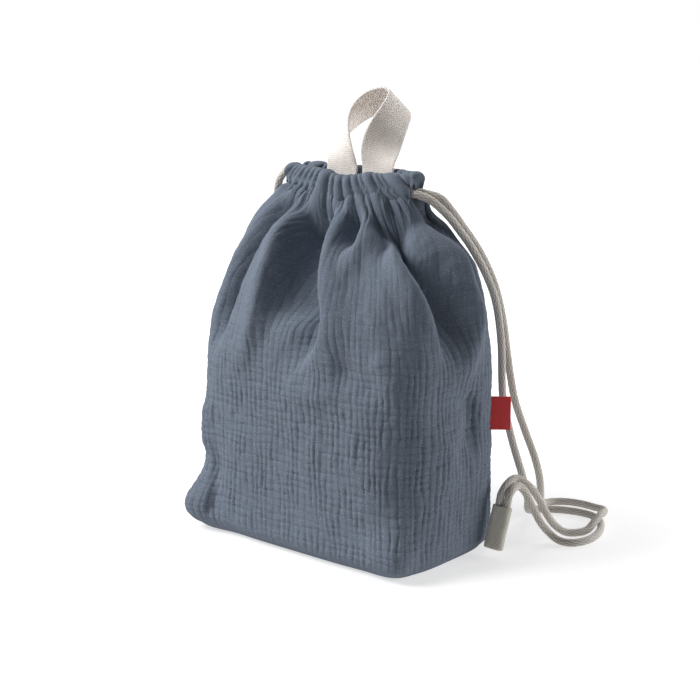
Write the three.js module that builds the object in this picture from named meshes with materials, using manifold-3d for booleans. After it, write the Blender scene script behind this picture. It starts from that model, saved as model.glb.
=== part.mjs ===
// Drawstring backpack: a cloth bag that two drawcords gather shut and carry as shoulder straps.
// Millimetres, +Z up. The front faces -Y and the origin is the middle of the base, on the floor.
import * as THREE from 'three';
import { mergeVertices } from 'three/addons/utils/BufferGeometryUtils.js';
import Module from 'manifold-3d';

const wasm = await Module();
wasm.setup();

// Bag body
const BASE_WIDTH = 235;
const BASE_DEPTH = 144;
const BASE_SQUARENESS = 4.5;
const BASE_ROUND = 16;
const BASE_SEAM_HEIGHT = 5;
const SHOULDER_HEIGHT = 150;
const BODY_HEIGHT = 290;
const DOME_POWER = 0.63;
const MOUTH_WIDTH = 130;
const MOUTH_DEPTH = 40;
const MOUTH_SHIFT = 10;
const MOUTH_SQUARENESS = 2.5;
const SEAM_AT_BASE = 34;
const SEAM_AT_SHOULDER = 55;
const CORNER_FLARES = { backRight: 2, backLeft: 4, frontLeft: 22, frontRight: 13 };
const FLARE_HEIGHT = 22;
const FLARE_SPREAD = 25;
const CLOTH = 2.2;
const LINING = 0.8;
const GAP = 0.3;

// Main folds that the gathered mouth presses into the shoulder: how far each stands out of the cloth, its reach to
// either side, and its line down the bag as [share of the way round from the front's middle, height]
const FOLDS = [
  { rise: -12, reach: 16, line: [[-0.15, 289], [-0.131, 218], [-0.152, 130]] },
  { rise: 11, reach: 20, line: [[-0.1, 289], [-0.082, 215], [-0.1, 126]] },
  { rise: -17, reach: 20, line: [[-0.03, 289], [0.016, 242], [0.027, 208], [-0.02, 160]] },
  { rise: 9, reach: 17, line: [[0.035, 287], [0.052, 220], [0.035, 172]] },
  { rise: 9, reach: 15, line: [[0.15, 289], [0.192, 228], [0.212, 176]] },
  { rise: -15, reach: 15, line: [[0.184, 289], [0.225, 222], [0.236, 194], [0.21, 160]] },
  { rise: 9, reach: 16, line: [[0.212, 289], [0.256, 218], [0.208, 146]] },
  { rise: -11, reach: 14, line: [[0.42, 289], [0.431, 235], [0.442, 180]] },
  { rise: 7, reach: 18, line: [[0.455, 289], [0.471, 228], [0.476, 170]] },
  { rise: -11, reach: 16, line: [[0.495, 289], [0.508, 235], [0.514, 170]] },
  { rise: 7, reach: 18, line: [[0.535, 289], [0.547, 228], [0.554, 170]] },
  { rise: -11, reach: 14, line: [[0.58, 289], [0.584, 235], [0.582, 178]] },
  { rise: 6, reach: 17, line: [[0.62, 289], [0.617, 228], [0.617, 178]] },
];

// Drawstring casings
const CASING_HEIGHT = 21;
const CASING_THICKNESS = 11;
const CASING_LENGTH = 124;
const CASING_END_SPACING = 13.4;
const CASING_WALL = 2;
const CASING_TURN_REACH = 5.4;
const GATHER_PITCH = 8;
const GATHER_DEPTH = 0.5;

// Drawcords
const CORD_DIAMETER = 6;
const CORD_SIDES = 8;
const STRAND_STEP = 2.1 * CORD_DIAMETER;
const RUN_STEP = 0.85 * CORD_DIAMETER;
const CORD_SPACING = 9.6;

// Carrying handle
const WEBBING_WIDTH = 32;
const WEBBING_THICKNESS = 1.8;
const HANDLE_SPACING = 38;
const HANDLE_RISE = 51;
const HANDLE_BULGE = 19;
const HANDLE_LEAN_BACK = 31;
const HANDLE_LEAN_SIDE = 9;
const HANDLE_TWIST = 28;
const HANDLE_TILT = 38;
const HANDLE_CLEARANCE = 3;
const FOOT_LENGTH = 19;

// Cord tabs
const TAB_LENGTH = 36;
const TAB_WALL = 1.6;
const TAB_FLANGE = 1.2;
const TAB_FOOT_HEIGHT = 7.5;
const TAB_STAND_OFF = 3;
const TAB_TILT_BACK = 12;
const TAB_TILT_OUT = 9;
const TAB_TURN = 20;
const SLEEVE_CLEARANCE = 0.3;

// Side tag
const TAG_LENGTH = 15;
const TAG_HEIGHT = 28;
const TAG_THICKNESS = 1.2;
const TAG_MIDDLE_HEIGHT = 116;
const TAG_TURN = 38;

// Mesh fineness
const RING_POINTS = 46;
const OUTLINE_POINTS = 120;
const ROUND_STEPS = 4;
const WALL_STEPS = 3;
const DOME_STEPS = 10;
const CASING_POINTS = 12;
const BORE_POINTS = 10;
const BORE_STEPS = 12;
const HANDLE_STEPS = 40;

const X_AXIS = new THREE.Vector3(1, 0, 0);
const Y_AXIS = new THREE.Vector3(0, 1, 0);
const UP = new THREE.Vector3(0, 0, 1);
const mix = THREE.MathUtils.lerp;
const radians = THREE.MathUtils.degToRad;

const cloth = new THREE.MeshStandardMaterial({ name: 'cloth', color: 0x707b89, roughness: 0.95, metalness: 0 });
const liningCloth = new THREE.MeshStandardMaterial({ name: 'lining', color: 0x5d6670, roughness: 0.9, metalness: 0 });
const rope = new THREE.MeshStandardMaterial({ name: 'cord', color: 0xcac2b8, roughness: 0.9, metalness: 0 });
const webbing = new THREE.MeshStandardMaterial({ name: 'webbing', color: 0xe4dbd1, roughness: 0.9, metalness: 0 });
const tagRibbon = new THREE.MeshStandardMaterial({ name: 'tag', color: 0xb5282f, roughness: 0.7, metalness: 0 });

const bag = new THREE.Group();
bag.name = 'drawstring_backpack';

/** Adds a named mesh to a parent group. */
function addPiece(name, geometry, material, parent = bag) {
  const mesh = new THREE.Mesh(geometry, material);
  mesh.name = name;
  parent.add(mesh);
  return mesh;
}

/** A closed skin over rings of points, each ring counter-clockwise about the way the rings advance. */
function loft(rings) {
  const count = rings[0].length;
  const positions = rings.flat().flatMap((p) => [p.x, p.y, p.z]);
  const index = [];
  for (let i = 0; i + 1 < rings.length; i += 1) {
    for (let j = 0; j < count; j += 1) {
      const next = (j + 1) % count;
      const [a, b, c, d] = [i * count + j, i * count + next, (i + 1) * count + next, (i + 1) * count + j];
      index.push(a, b, c, a, c, d);
    }
  }
  const capEnd = (ring, first, forward) => {
    const middle = ring.reduce((sum, p) => sum.add(p), new THREE.Vector3()).divideScalar(count);
    const centre = positions.length / 3;
    positions.push(middle.x, middle.y, middle.z);
    for (let j = 0; j < count; j += 1) {
      const [a, b] = [first + j, first + ((j + 1) % count)];
      index.push(centre, ...(forward ? [a, b] : [b, a]));
    }
  };
  capEnd(rings[0], 0, false);
  capEnd(rings.at(-1), (rings.length - 1) * count, true);
  const geometry = new THREE.BufferGeometry();
  geometry.setAttribute('position', new THREE.Float32BufferAttribute(positions, 3));
  geometry.setIndex(index);
  return geometry;
}

/** A closed indexed geometry as a solid that can be cut and joined. */
function solidOf(geometry) {
  return new wasm.Manifold(new wasm.Mesh({
    numProp: 3,
    vertProperties: geometry.getAttribute('position').array,
    triVerts: new Uint32Array(geometry.index.array),
  }));
}

/** A solid back as a geometry. */
function geometryOf(solid) {
  const { vertProperties, triVerts } = solid.getMesh();
  const geometry = new THREE.BufferGeometry();
  geometry.setAttribute('position', new THREE.BufferAttribute(vertProperties, 3));
  geometry.setIndex(new THREE.BufferAttribute(triVerts, 1));
  geometry.computeVertexNormals();
  return geometry;
}

/** A prism whose outline lies in the YZ plane, as a solid that reaches past the bag on both sides. */
function prismAlongX(outline) {
  const shape = new THREE.Shape(outline.map(([y, z]) => new THREE.Vector2(y, z)));
  const prism = new THREE.ExtrudeGeometry(shape, { depth: 2 * BASE_WIDTH, bevelEnabled: false });
  prism.translate(0, 0, -BASE_WIDTH);
  prism.applyMatrix4(new THREE.Matrix4().makeBasis(Y_AXIS, UP, X_AXIS));
  prism.deleteAttribute('normal');
  prism.deleteAttribute('uv');
  return solidOf(mergeVertices(prism));
}

const signedPower = (value, power) => Math.sign(value) * Math.abs(value) ** power;

/** How far the bag is gathered at a height: 0 up to the shoulder, 1 at the mouth, along a dome. */
function gatherAt(z) {
  const rise = THREE.MathUtils.clamp((z - SHOULDER_HEIGHT) / (BODY_HEIGHT - SHOULDER_HEIGHT), 0, 1);
  return 1 - (1 - rise * rise) ** DOME_POWER;
}

/** How far the lower corner at an angle stands out. */
function flareAt(angle) {
  const right = Math.cos(angle) > 0 ? 'Right' : 'Left';
  const corner = ((1 - Math.cos(4 * angle)) / 2) ** 3;
  return CORNER_FLARES[(Math.sin(angle) > 0 ? 'back' : 'front') + right] * corner;
}

/** How far behind the middle the side seams run at a height: up the back corners, then to the casings' ends. */
function seamSetback(z) {
  const onWall = mix(SEAM_AT_BASE, SEAM_AT_SHOULDER, THREE.MathUtils.clamp(z / SHOULDER_HEIGHT, 0, 1));
  return mix(onWall, MOUTH_SHIFT, gatherAt(z));
}

/** A point of the bag's outer face at an angle round it and a height. */
function bagPoint(angle, z) {
  const gather = gatherAt(z);
  const below = Math.max(0, BASE_ROUND - z);
  const inset = BASE_ROUND - Math.sqrt(BASE_ROUND ** 2 - below ** 2);
  const power = 2 / mix(BASE_SQUARENESS, MOUTH_SQUARENESS, Math.sqrt(gather));
  const flare = flareAt(angle) * Math.exp(-(((z - FLARE_HEIGHT) / FLARE_SPREAD) ** 2));
  const halfWidth = mix(BASE_WIDTH, MOUTH_WIDTH, gather) / 2 - inset;
  const halfDepth = mix(BASE_DEPTH, MOUTH_DEPTH, gather) / 2 - inset;
  return new THREE.Vector3(
    halfWidth * signedPower(Math.cos(angle), power) + flare * Math.cos(angle),
    halfDepth * signedPower(Math.sin(angle), power) + flare * Math.sin(angle) + MOUTH_SHIFT * gather,
    z,
  );
}

/** Heights of the rings that the bag's skin is drawn through, from the floor to the mouth. */
function ringHeights() {
  const heights = [];
  for (let i = 0; i < ROUND_STEPS; i += 1) {
    heights.push(BASE_ROUND * (1 - Math.cos((Math.PI / 2) * (i / ROUND_STEPS))));
  }
  for (let i = 0; i < WALL_STEPS; i += 1) heights.push(mix(BASE_ROUND, SHOULDER_HEIGHT, i / WALL_STEPS));
  for (let i = 0; i <= DOME_STEPS; i += 1) {
    heights.push(mix(SHOULDER_HEIGHT, BODY_HEIGHT, Math.sin((Math.PI / 2) * (i / DOME_STEPS))));
  }
  return heights;
}

/** How far the folds lift the cloth at a share of the way round a ring of a girth. */
function foldLift(share, z, girth) {
  return FOLDS.reduce((lift, { rise, reach, line }) => {
    const [top, bottom] = [line[0][1], line.at(-1)[1]];
    if (z >= top || z <= bottom) return lift;
    const next = line.findIndex(([, height]) => height <= z);
    const [[upperShare, upper], [lowerShare, lower]] = [line[next - 1], line[next]];
    const turn = share - mix(upperShare, lowerShare, (upper - z) / (upper - lower));
    const aside = (turn - Math.round(turn)) * girth;
    const run = (top - z) / (top - bottom);
    const fade = THREE.MathUtils.smoothstep(run, 0, 0.2) * (1 - THREE.MathUtils.smoothstep(run, 0.45, 1));
    return lift + rise * fade * Math.exp(-((aside / reach) ** 2));
  }, 0);
}

/** A skin of rings moved out of its own face by a distance at each point. */
function movedSkin(skin, distanceAt) {
  return skin.map((ring, i) => ring.map((point, j) => {
    const along = ring[(j + 1) % RING_POINTS].clone().sub(ring[(j + RING_POINTS - 1) % RING_POINTS]);
    const upper = skin[Math.min(i + 1, skin.length - 1)][j];
    const lower = skin[Math.max(i - 1, 0)][j];
    const normal = i === 0 ? UP.clone().negate() : along.cross(upper.clone().sub(lower)).normalize();
    return point.clone().addScaledVector(normal, distanceAt(i, j));
  }));
}

/** The bag's folded outer face as rings of evenly spaced points from the base upward. */
function foldedSkin() {
  const heights = ringHeights();
  const outlines = heights.map((z) => new THREE.CatmullRomCurve3(Array.from({ length: OUTLINE_POINTS }, (_, i) => (
    bagPoint((2 * Math.PI * i) / OUTLINE_POINTS - Math.PI / 2, z)
  )), true));
  const girths = outlines.map((outline) => {
    outline.arcLengthDivisions = 8 * OUTLINE_POINTS;
    return outline.getLength();
  });
  const smooth = outlines.map((outline) => outline.getSpacedPoints(RING_POINTS).slice(0, RING_POINTS));
  return movedSkin(smooth, (i, j) => foldLift(j / RING_POINTS, heights[i], girths[i]));
}

const skin = foldedSkin();

/** The bag's skin set in by a depth along its own normals. */
const bagRings = (depth) => movedSkin(skin, () => -depth);

/** The bag's skin as a filled solid; an open one runs on upward, so that it cuts through the mouth. */
function bagSolid(depth, open = false) {
  const rings = bagRings(depth);
  if (open) rings.push(rings.at(-1).map((p) => p.clone().setZ(BODY_HEIGHT + CASING_HEIGHT)));
  return solidOf(loft(rings));
}

/** Everything behind the side seams. */
function behindSeams(clearance) {
  const far = BASE_DEPTH;
  const seam = ringHeights().map((z) => [seamSetback(z) + clearance, z]).reverse();
  const top = BODY_HEIGHT + CASING_HEIGHT;
  const rear = [[far, -far], [far, top], [MOUTH_SHIFT + clearance, top]];
  return prismAlongX([...rear, ...seam, [SEAM_AT_BASE + clearance, -far]]);
}

/** Everything below a height. */
function below(height) {
  const far = BASE_DEPTH;
  return prismAlongX([[-far, -far], [far, -far], [far, height], [-far, height]]);
}

/** One layer of the bag cut along its seams into a front, a back and a base. */
function addLayer(kind, outerDepth, thickness, material) {
  const sack = bagSolid(outerDepth).subtract(bagSolid(outerDepth + thickness, true));
  const seamHeight = BASE_SEAM_HEIGHT + outerDepth;
  const walls = sack.subtract(below(seamHeight + GAP / 2));
  addPiece(`front_${kind}`, geometryOf(walls.subtract(behindSeams(-GAP / 2))), material);
  addPiece(`back_${kind}`, geometryOf(walls.intersect(behindSeams(GAP / 2))), material);
  addPiece(`base_${kind}`, geometryOf(sack.intersect(below(seamHeight - GAP / 2))), material);
}

const casingMiddle = BODY_HEIGHT + GAP + CASING_HEIGHT / 2;
const casingBow = MOUTH_DEPTH / 2 - CLOTH;

/** The middle line of a casing; side is -1 at the front and 1 at the back. */
function casingPoint(side, x, z = casingMiddle) {
  const share = x / (CASING_LENGTH / 2);
  const out = mix(casingBow, CASING_END_SPACING / 2, share * share);
  return new THREE.Vector3(x, MOUTH_SHIFT + side * out, z);
}

/** Rings of an oval tube along a casing, with ridges of a depth at every other ring. */
function casingRings(side, halfLength, halfThickness, halfHeight, { steps, points, depth }) {
  return Array.from({ length: steps + 1 }, (_, i) => {
    const x = mix(-halfLength, halfLength, i / steps);
    const middle = casingPoint(side, x);
    const tangent = casingPoint(side, x + GAP).sub(casingPoint(side, x - GAP)).normalize();
    const across = UP.clone().cross(tangent);
    const half = halfThickness + (i % 2 === 0 ? -depth : depth);
    return Array.from({ length: points }, (_, j) => {
      const angle = (2 * Math.PI * (j + 0.5)) / points;
      const reach = half * signedPower(Math.cos(angle), 0.7);
      const rise = halfHeight * signedPower(Math.sin(angle), 0.7);
      return middle.clone().addScaledVector(across, reach).addScaledVector(UP, rise);
    });
  });
}

/** A casing: the hem tube that holds the cords, open at both ends. */
function addCasing(name, side) {
  const half = CASING_LENGTH / 2;
  const [thickness, height] = [CASING_THICKNESS / 2, CASING_HEIGHT / 2];
  const gathers = { steps: 2 * Math.round(CASING_LENGTH / GATHER_PITCH), points: CASING_POINTS, depth: GATHER_DEPTH };
  const plain = { steps: BORE_STEPS, points: BORE_POINTS, depth: 0 };
  const outer = casingRings(side, half, thickness, height, gathers);
  const bore = casingRings(side, half + CASING_WALL, thickness - CASING_WALL, height - CASING_WALL, plain);
  addPiece(name, geometryOf(solidOf(loft(outer)).subtract(solidOf(loft(bore)))), cloth);
}

/** A round cord along a curve through points, with a ring of its skin at every step. */
function cordAlong(points, step) {
  const route = new THREE.CatmullRomCurve3(points, false, 'centripetal');
  const section = new THREE.Shape(Array.from({ length: CORD_SIDES }, (_, i) => {
    const angle = (2 * Math.PI * i) / CORD_SIDES;
    return new THREE.Vector2(Math.cos(angle), Math.sin(angle)).multiplyScalar(CORD_DIAMETER / 2);
  }));
  const steps = Math.ceil(route.getLength() / step);
  return new THREE.ExtrudeGeometry(section, { steps, extrudePath: route, bevelEnabled: false });
}

/** A cord's height in the casings: the right cord runs below the left one. */
const cordHeight = (hand) => casingMiddle - (hand * CORD_SPACING) / 2;

/** A cord's stretch through both casings, with its turn past their far end. */
function addCasingRun(name, hand) {
  const half = CASING_LENGTH / 2;
  const z = cordHeight(hand);
  const shares = [1, 0.75, 0.5, 0.25, 0, -0.25, -0.5, -0.75, -1];
  const there = shares.map((share) => casingPoint(-1, hand * share * half, z));
  const back = shares.map((share) => casingPoint(1, hand * share * half, z)).reverse();
  const turn = [-0.72, 0, 0.72].map((share) => new THREE.Vector3(
    -hand * (half + CASING_TURN_REACH * Math.sqrt(1 - share * share)),
    MOUTH_SHIFT + (share * CASING_END_SPACING) / 2,
    z,
  ));
  addPiece(name, cordAlong([...there, ...turn, ...back], RUN_STEP), rope);
}

/** A tab's frame: X points out of the bag, Z up along the sleeve; hand is 1 at the right and -1 at the left. */
function tabFrame(hand) {
  const root = seamPoint(TAB_FOOT_HEIGHT + TAB_LENGTH / 2);
  const frame = new THREE.Matrix4().makeRotationZ(radians(TAB_TURN));
  frame.multiply(new THREE.Matrix4().makeRotationX(radians(-TAB_TILT_BACK)));
  frame.multiply(new THREE.Matrix4().makeRotationY(radians(TAB_TILT_OUT)));
  frame.setPosition(root.x + TAB_STAND_OFF, root.y, root.z);
  return hand > 0 ? frame : new THREE.Matrix4().makeScale(-1, 1, 1).multiply(frame);
}

/** The place on the bag's outer face where the right-hand side seam runs, at a height. */
function seamPoint(z) {
  const target = seamSetback(z);
  let [low, high] = [-Math.PI / 2, Math.PI / 2];
  for (let i = 0; i < 40; i += 1) {
    const middle = (low + high) / 2;
    if (bagPoint(middle, z).y < target) low = middle;
    else high = middle;
  }
  return bagPoint(low, z);
}

const sleeveRadius = CORD_DIAMETER / 2 + SLEEVE_CLEARANCE;
const slotSpacing = CORD_DIAMETER + 2 * SLEEVE_CLEARANCE;
const slotInner = TAB_FLANGE + TAB_WALL + sleeveRadius;

/** A flat loop outline round two cords that lie side by side. */
function loopOutline(radius) {
  const path = new THREE.Path();
  path.absarc(slotInner + slotSpacing, 0, radius, -Math.PI / 2, Math.PI / 2);
  path.absarc(slotInner, 0, radius, Math.PI / 2, (3 * Math.PI) / 2);
  path.closePath();
  return path;
}

/** A cord tab: webbing folded round both cord ends, with its two edges sewn into the side seam. */
function addTab(name, hand) {
  const radius = sleeveRadius + TAB_WALL;
  const flangeAngle = Math.asin(TAB_WALL / radius);
  const outline = new THREE.Shape();
  outline.moveTo(0, -TAB_WALL);
  outline.absarc(slotInner, 0, radius, Math.PI + flangeAngle, 1.5 * Math.PI);
  outline.absarc(slotInner + slotSpacing, 0, radius, -Math.PI / 2, Math.PI / 2);
  outline.absarc(slotInner, 0, radius, Math.PI / 2, Math.PI - flangeAngle);
  outline.lineTo(0, TAB_WALL);
  outline.closePath();
  outline.holes.push(loopOutline(sleeveRadius));
  const sleeve = new THREE.ExtrudeGeometry(outline, { depth: TAB_LENGTH, bevelEnabled: false, curveSegments: 6 });
  sleeve.translate(0, 0, -TAB_LENGTH / 2);
  const mesh = addPiece(name, sleeve, webbing);
  mesh.applyMatrix4(tabFrame(hand));
}

/** The middle of a cord in a tab: slot 0 lies next to the bag and 1 outside it. */
function slotPoint(hand, slot, along) {
  return new THREE.Vector3(slotInner + slot * slotSpacing, 0, along).applyMatrix4(tabFrame(hand));
}

// Each strap strand between its casing and its tab: down the shoulder, round a loop on the floor, over to the tab
const STRAND_ROUTES = {
  drawcord_right_front: {
    hand: 1,
    side: -1,
    slot: 1,
    route: [
      [74.5, 14, 291.3], [80, 20, 284.8], [84, 28, 276.2], [86.7, 38, 264.8], [89.5, 48, 252.5],
      [94.8, 62, 229], [98.2, 72.5, 205], [100.2, 79, 170.5], [100.7, 81, 136], [100.7, 83.5, 118.5],
      [104, 93, 82], [106, 108, 45.3], [102, 122, 22], [95, 133, 9.5], [91, 142, 4.4], [93, 150, 3.4],
      [101, 157, 3.4], [111, 163, 3.4], [124, 167, 3.4], [138, 167, 3.4], [151, 160, 3.4], [162, 145, 3.4],
      [169, 127, 3.4], [170, 109, 3.4], [163, 96, 3.4], [153, 93.5, 4], [145, 91.5, 9], [139.5, 86, 18.5],
      [135.5, 78, 35], [133.5, 70, 48.5], [131.5, 63, 54.5],
    ],
  },
  drawcord_right_back: {
    hand: 1,
    side: 1,
    slot: 0,
    route: [
      [76, 25, 291.8], [80.6, 35, 280.7], [83.4, 45, 268.5], [89.5, 62, 245], [95, 76, 216.3], [97.6, 85, 186],
      [98.8, 90, 159.6], [100.4, 93.5, 138], [102, 99, 115], [106, 109, 87.5], [110, 120, 60], [109, 129, 41],
      [102, 142, 21], [94, 155, 9], [89.5, 166, 4.4], [92, 177, 3.4], [102, 185, 3.4], [116, 188.5, 3.4],
      [131, 186, 4], [145, 177, 7.2], [152, 165, 9.2], [155.5, 154, 10.8], [157.5, 142, 8.4], [157.5, 130, 4.2],
      [153.5, 121, 3.4], [147, 113, 4.6], [141.5, 105.5, 11], [139, 98, 20.5], [136.4, 88, 37], [132.5, 78, 51],
      [126, 67, 59],
    ],
  },
  drawcord_left_front: {
    hand: -1,
    side: -1,
    slot: 1,
    route: [
      [-76, 4.5, 298], [-84, 9, 286.5], [-91, 17, 271], [-97, 28, 256], [-102, 43, 236], [-102.5, 60, 210],
      [-102, 72, 185], [-101.5, 79, 160], [-101, 82, 136], [-101, 84.5, 118.5], [-104, 93, 82],
      [-106, 108, 45.3], [-102, 122, 22], [-95, 133, 9.5], [-91, 142, 4.4], [-93, 150, 3.4], [-101, 157, 3.4],
      [-111, 163, 3.4], [-124, 167, 3.4], [-138, 167, 3.4], [-151, 160, 3.4], [-162, 145, 3.4],
      [-169, 127, 3.4], [-170, 109, 3.4], [-163, 96, 3.4], [-153, 93.5, 4], [-145, 91.5, 9], [-139.5, 86, 18.5],
      [-135.5, 78, 35], [-133.5, 70, 48.5], [-131.5, 63, 54.5],
    ],
  },
  drawcord_left_back: {
    hand: -1,
    side: 1,
    slot: 0,
    route: [
      [-77, 20, 297], [-86, 27, 284], [-93, 38, 266], [-97, 52, 246], [-99.5, 67, 222], [-100, 79, 196],
      [-99.5, 86.5, 174], [-99.2, 90.5, 157], [-100.4, 94, 138], [-102, 99, 115], [-106, 109, 87.5],
      [-110, 120, 60], [-109, 129, 41], [-102, 142, 21], [-94, 155, 9], [-89.5, 166, 4.4], [-92, 177, 3.4],
      [-102, 185, 3.4], [-116, 188.5, 3.4], [-131, 186, 4], [-145, 177, 7.2], [-152, 165, 9.2],
      [-155.5, 154, 10.8], [-157.5, 142, 8.4], [-157.5, 130, 4.2], [-153.5, 121, 3.4], [-147, 113, 4.6],
      [-141.5, 105.5, 11], [-139, 98, 20.5], [-136.4, 88, 37], [-132.5, 78, 51], [-126, 67, 59],
    ],
  },
};

/** A free strand of a drawcord, from the end of its casing into its tab. */
function addStrand(name, { hand, side, slot, route }) {
  const half = CASING_LENGTH / 2;
  const start = casingPoint(side, hand * half, cordHeight(hand));
  const outward = start.clone().sub(casingPoint(side, hand * (half - CORD_DIAMETER), start.z)).normalize();
  const exit = [start.clone().addScaledVector(outward, GAP), start.clone().addScaledVector(outward, CORD_DIAMETER)];
  const entry = [TAB_LENGTH / 2 + 1.8 * CORD_DIAMETER, TAB_LENGTH / 2, 0, -TAB_LENGTH / 2 + CORD_DIAMETER / 2]
    .map((along) => slotPoint(hand, slot, along));
  const middle = route.map(([x, y, z]) => new THREE.Vector3(x, y, z));
  addPiece(name, cordAlong([...exit, ...middle, ...entry], STRAND_STEP), rope);
}

const casingInset = CASING_THICKNESS / 2 + GATHER_DEPTH + GAP;
const handleFoot = new THREE.Vector3(
  HANDLE_SPACING / 2,
  casingPoint(1, (HANDLE_SPACING + WEBBING_WIDTH) / 2).y - casingInset - WEBBING_THICKNESS / 2,
  BODY_HEIGHT + GAP + CASING_HEIGHT + HANDLE_CLEARANCE,
);

/** The middle line of the handle, from the left foot over the top to the right foot; turn runs from 0 to pi. */
function handlePoint(turn) {
  const bend = Math.sin(turn) ** 2;
  return new THREE.Vector3(
    -Math.cos(turn) * (handleFoot.x + HANDLE_BULGE * bend) + HANDLE_LEAN_SIDE * bend * bend,
    handleFoot.y + HANDLE_LEAN_BACK * bend,
    handleFoot.z + HANDLE_RISE * Math.sin(turn),
  );
}

/** The handle's cross-section at a turn: flat to the front at its feet, turned edge-on over the top. */
function handleRing(turn, drop, thickness) {
  const step = 0.01;
  const tangent = handlePoint(turn + step).sub(handlePoint(turn - step)).normalize();
  const twist = turn + radians(HANDLE_TWIST) * Math.sin(2 * turn);
  const tilt = radians(HANDLE_TILT) * Math.sin(turn) ** 2;
  const across = new THREE.Vector3(-Math.cos(twist), Math.sin(twist) * Math.cos(tilt), -Math.sin(twist) * Math.sin(tilt));
  across.addScaledVector(tangent, -across.dot(tangent)).normalize();
  const face = tangent.clone().cross(across);
  const middle = handlePoint(turn).addScaledVector(tangent, drop);
  return [[-1, -1], [1, -1], [1, 1], [-1, 1]].map(([i, j]) => middle.clone()
    .addScaledVector(across, (i * WEBBING_WIDTH) / 2)
    .addScaledVector(face, (j * thickness) / 2));
}

/** The carrying handle above the mouth: one length of webbing bent into a twisted loop. */
function addHandleLoop() {
  const radius = WEBBING_THICKNESS / 2;
  const rounding = [80, 50, 20].map(radians);
  const heel = rounding.map((a) => handleRing(0, -radius * Math.sin(a), WEBBING_THICKNESS * Math.cos(a)));
  const toe = rounding.map((a) => handleRing(Math.PI, radius * Math.sin(a), WEBBING_THICKNESS * Math.cos(a)));
  const loop = Array.from({ length: HANDLE_STEPS + 1 }, (_, i) => (
    handleRing((Math.PI * i) / HANDLE_STEPS, 0, WEBBING_THICKNESS)
  ));
  addPiece('handle_loop', loft([...heel, ...loop, ...toe.reverse()]), webbing);
}

/** The webbing's sewn end inside the mouth, flat against the back casing. */
function addHandleFoot(name, hand) {
  const foot = new THREE.BoxGeometry(WEBBING_WIDTH, WEBBING_THICKNESS, FOOT_LENGTH);
  const top = handleFoot.z - WEBBING_THICKNESS / 2 - GAP;
  const mesh = addPiece(name, foot, webbing);
  mesh.position.set(hand * handleFoot.x, handleFoot.y, top - FOOT_LENGTH / 2);
}

/** The side tag: a folded ribbon sewn into the right-hand seam, with a rounded fold at its free end. */
function addSideTag() {
  const radius = TAG_THICKNESS / 2;
  const outline = new THREE.Shape();
  outline.absarc(0, 0, radius, Math.PI / 2, 1.5 * Math.PI);
  outline.absarc(TAG_LENGTH - radius, 0, radius, -Math.PI / 2, Math.PI / 2);
  outline.closePath();
  const ribbon = new THREE.ExtrudeGeometry(outline, { depth: TAG_HEIGHT, bevelEnabled: false, curveSegments: 6 });
  ribbon.translate(0, 0, -TAG_HEIGHT / 2);
  const mesh = addPiece('side_tag', ribbon, tagRibbon);
  const root = seamPoint(TAG_MIDDLE_HEIGHT);
  const turn = radians(TAG_TURN);
  mesh.position.set(root.x + radius + GAP, root.y + radius, TAG_MIDDLE_HEIGHT);
  mesh.rotation.z = turn;
}

addLayer('panel', 0, CLOTH, cloth);
addLayer('lining', CLOTH + GAP, LINING, liningCloth);
addCasing('front_casing', -1);
addCasing('back_casing', 1);
addCasingRun('drawcord_right_run', 1);
addCasingRun('drawcord_left_run', -1);
addTab('tab_right', 1);
addTab('tab_left', -1);
Object.entries(STRAND_ROUTES).forEach(([name, strand]) => addStrand(name, strand));
addHandleLoop();
addHandleFoot('handle_foot_left', -1);
addHandleFoot('handle_foot_right', 1);
addSideTag();

export default bag;
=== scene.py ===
"""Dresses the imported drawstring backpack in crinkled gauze, braided cord, cotton webbing and ribbon."""
import logging
import math
from dataclasses import dataclass
from enum import Enum

import bpy
import numpy as np
from mathutils import Euler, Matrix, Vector


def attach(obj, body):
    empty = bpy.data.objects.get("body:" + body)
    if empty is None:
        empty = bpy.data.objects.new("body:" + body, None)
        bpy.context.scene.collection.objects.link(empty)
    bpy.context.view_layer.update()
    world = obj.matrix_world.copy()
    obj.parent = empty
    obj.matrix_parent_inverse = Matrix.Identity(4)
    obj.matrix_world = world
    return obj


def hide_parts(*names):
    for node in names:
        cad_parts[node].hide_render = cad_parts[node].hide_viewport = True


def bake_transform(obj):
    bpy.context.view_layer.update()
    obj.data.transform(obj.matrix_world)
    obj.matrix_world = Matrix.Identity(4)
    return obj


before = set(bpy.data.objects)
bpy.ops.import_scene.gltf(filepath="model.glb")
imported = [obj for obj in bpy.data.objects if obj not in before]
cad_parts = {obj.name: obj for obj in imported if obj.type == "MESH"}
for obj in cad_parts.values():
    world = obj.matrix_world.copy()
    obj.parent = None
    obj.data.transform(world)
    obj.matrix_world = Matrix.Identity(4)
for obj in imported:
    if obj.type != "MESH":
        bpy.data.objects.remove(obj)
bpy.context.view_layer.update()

LOG = logging.getLogger("backpack")
GRAIN_MAP = "grain"
CRINKLE_MAP = "crinkle"

MM = 0.001
UP = np.array([0.0, 0.0, 1.0])
LEVEL = np.array([1.0, 1.0, 0.0])
TINY = 1e-12
ROUTE_SAMPLES = 24

Array = np.ndarray
Range = tuple[float, float]
Point = tuple[float, float, float]
Colour = tuple[float, float, float, float]
Socket = bpy.types.NodeSocket


def mix(low: Array | float, high: Array | float, share: Array | float) -> Array | float:
    """Returns the value a share of the way from low to high."""
    return low + (high - low) * share


def ease(start: float, end: float, value: Array) -> Array:
    """Returns 0 before start and 1 after end, with a smooth ramp between them."""
    share = np.clip((value - start) / (end - start), 0, 1)
    return share * share * (3 - 2 * share)


def bell(away: Array) -> Array:
    """Returns 1 at no distance, falling smoothly to nearly 0 by two units away."""
    return np.exp(-(away**2))


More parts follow.
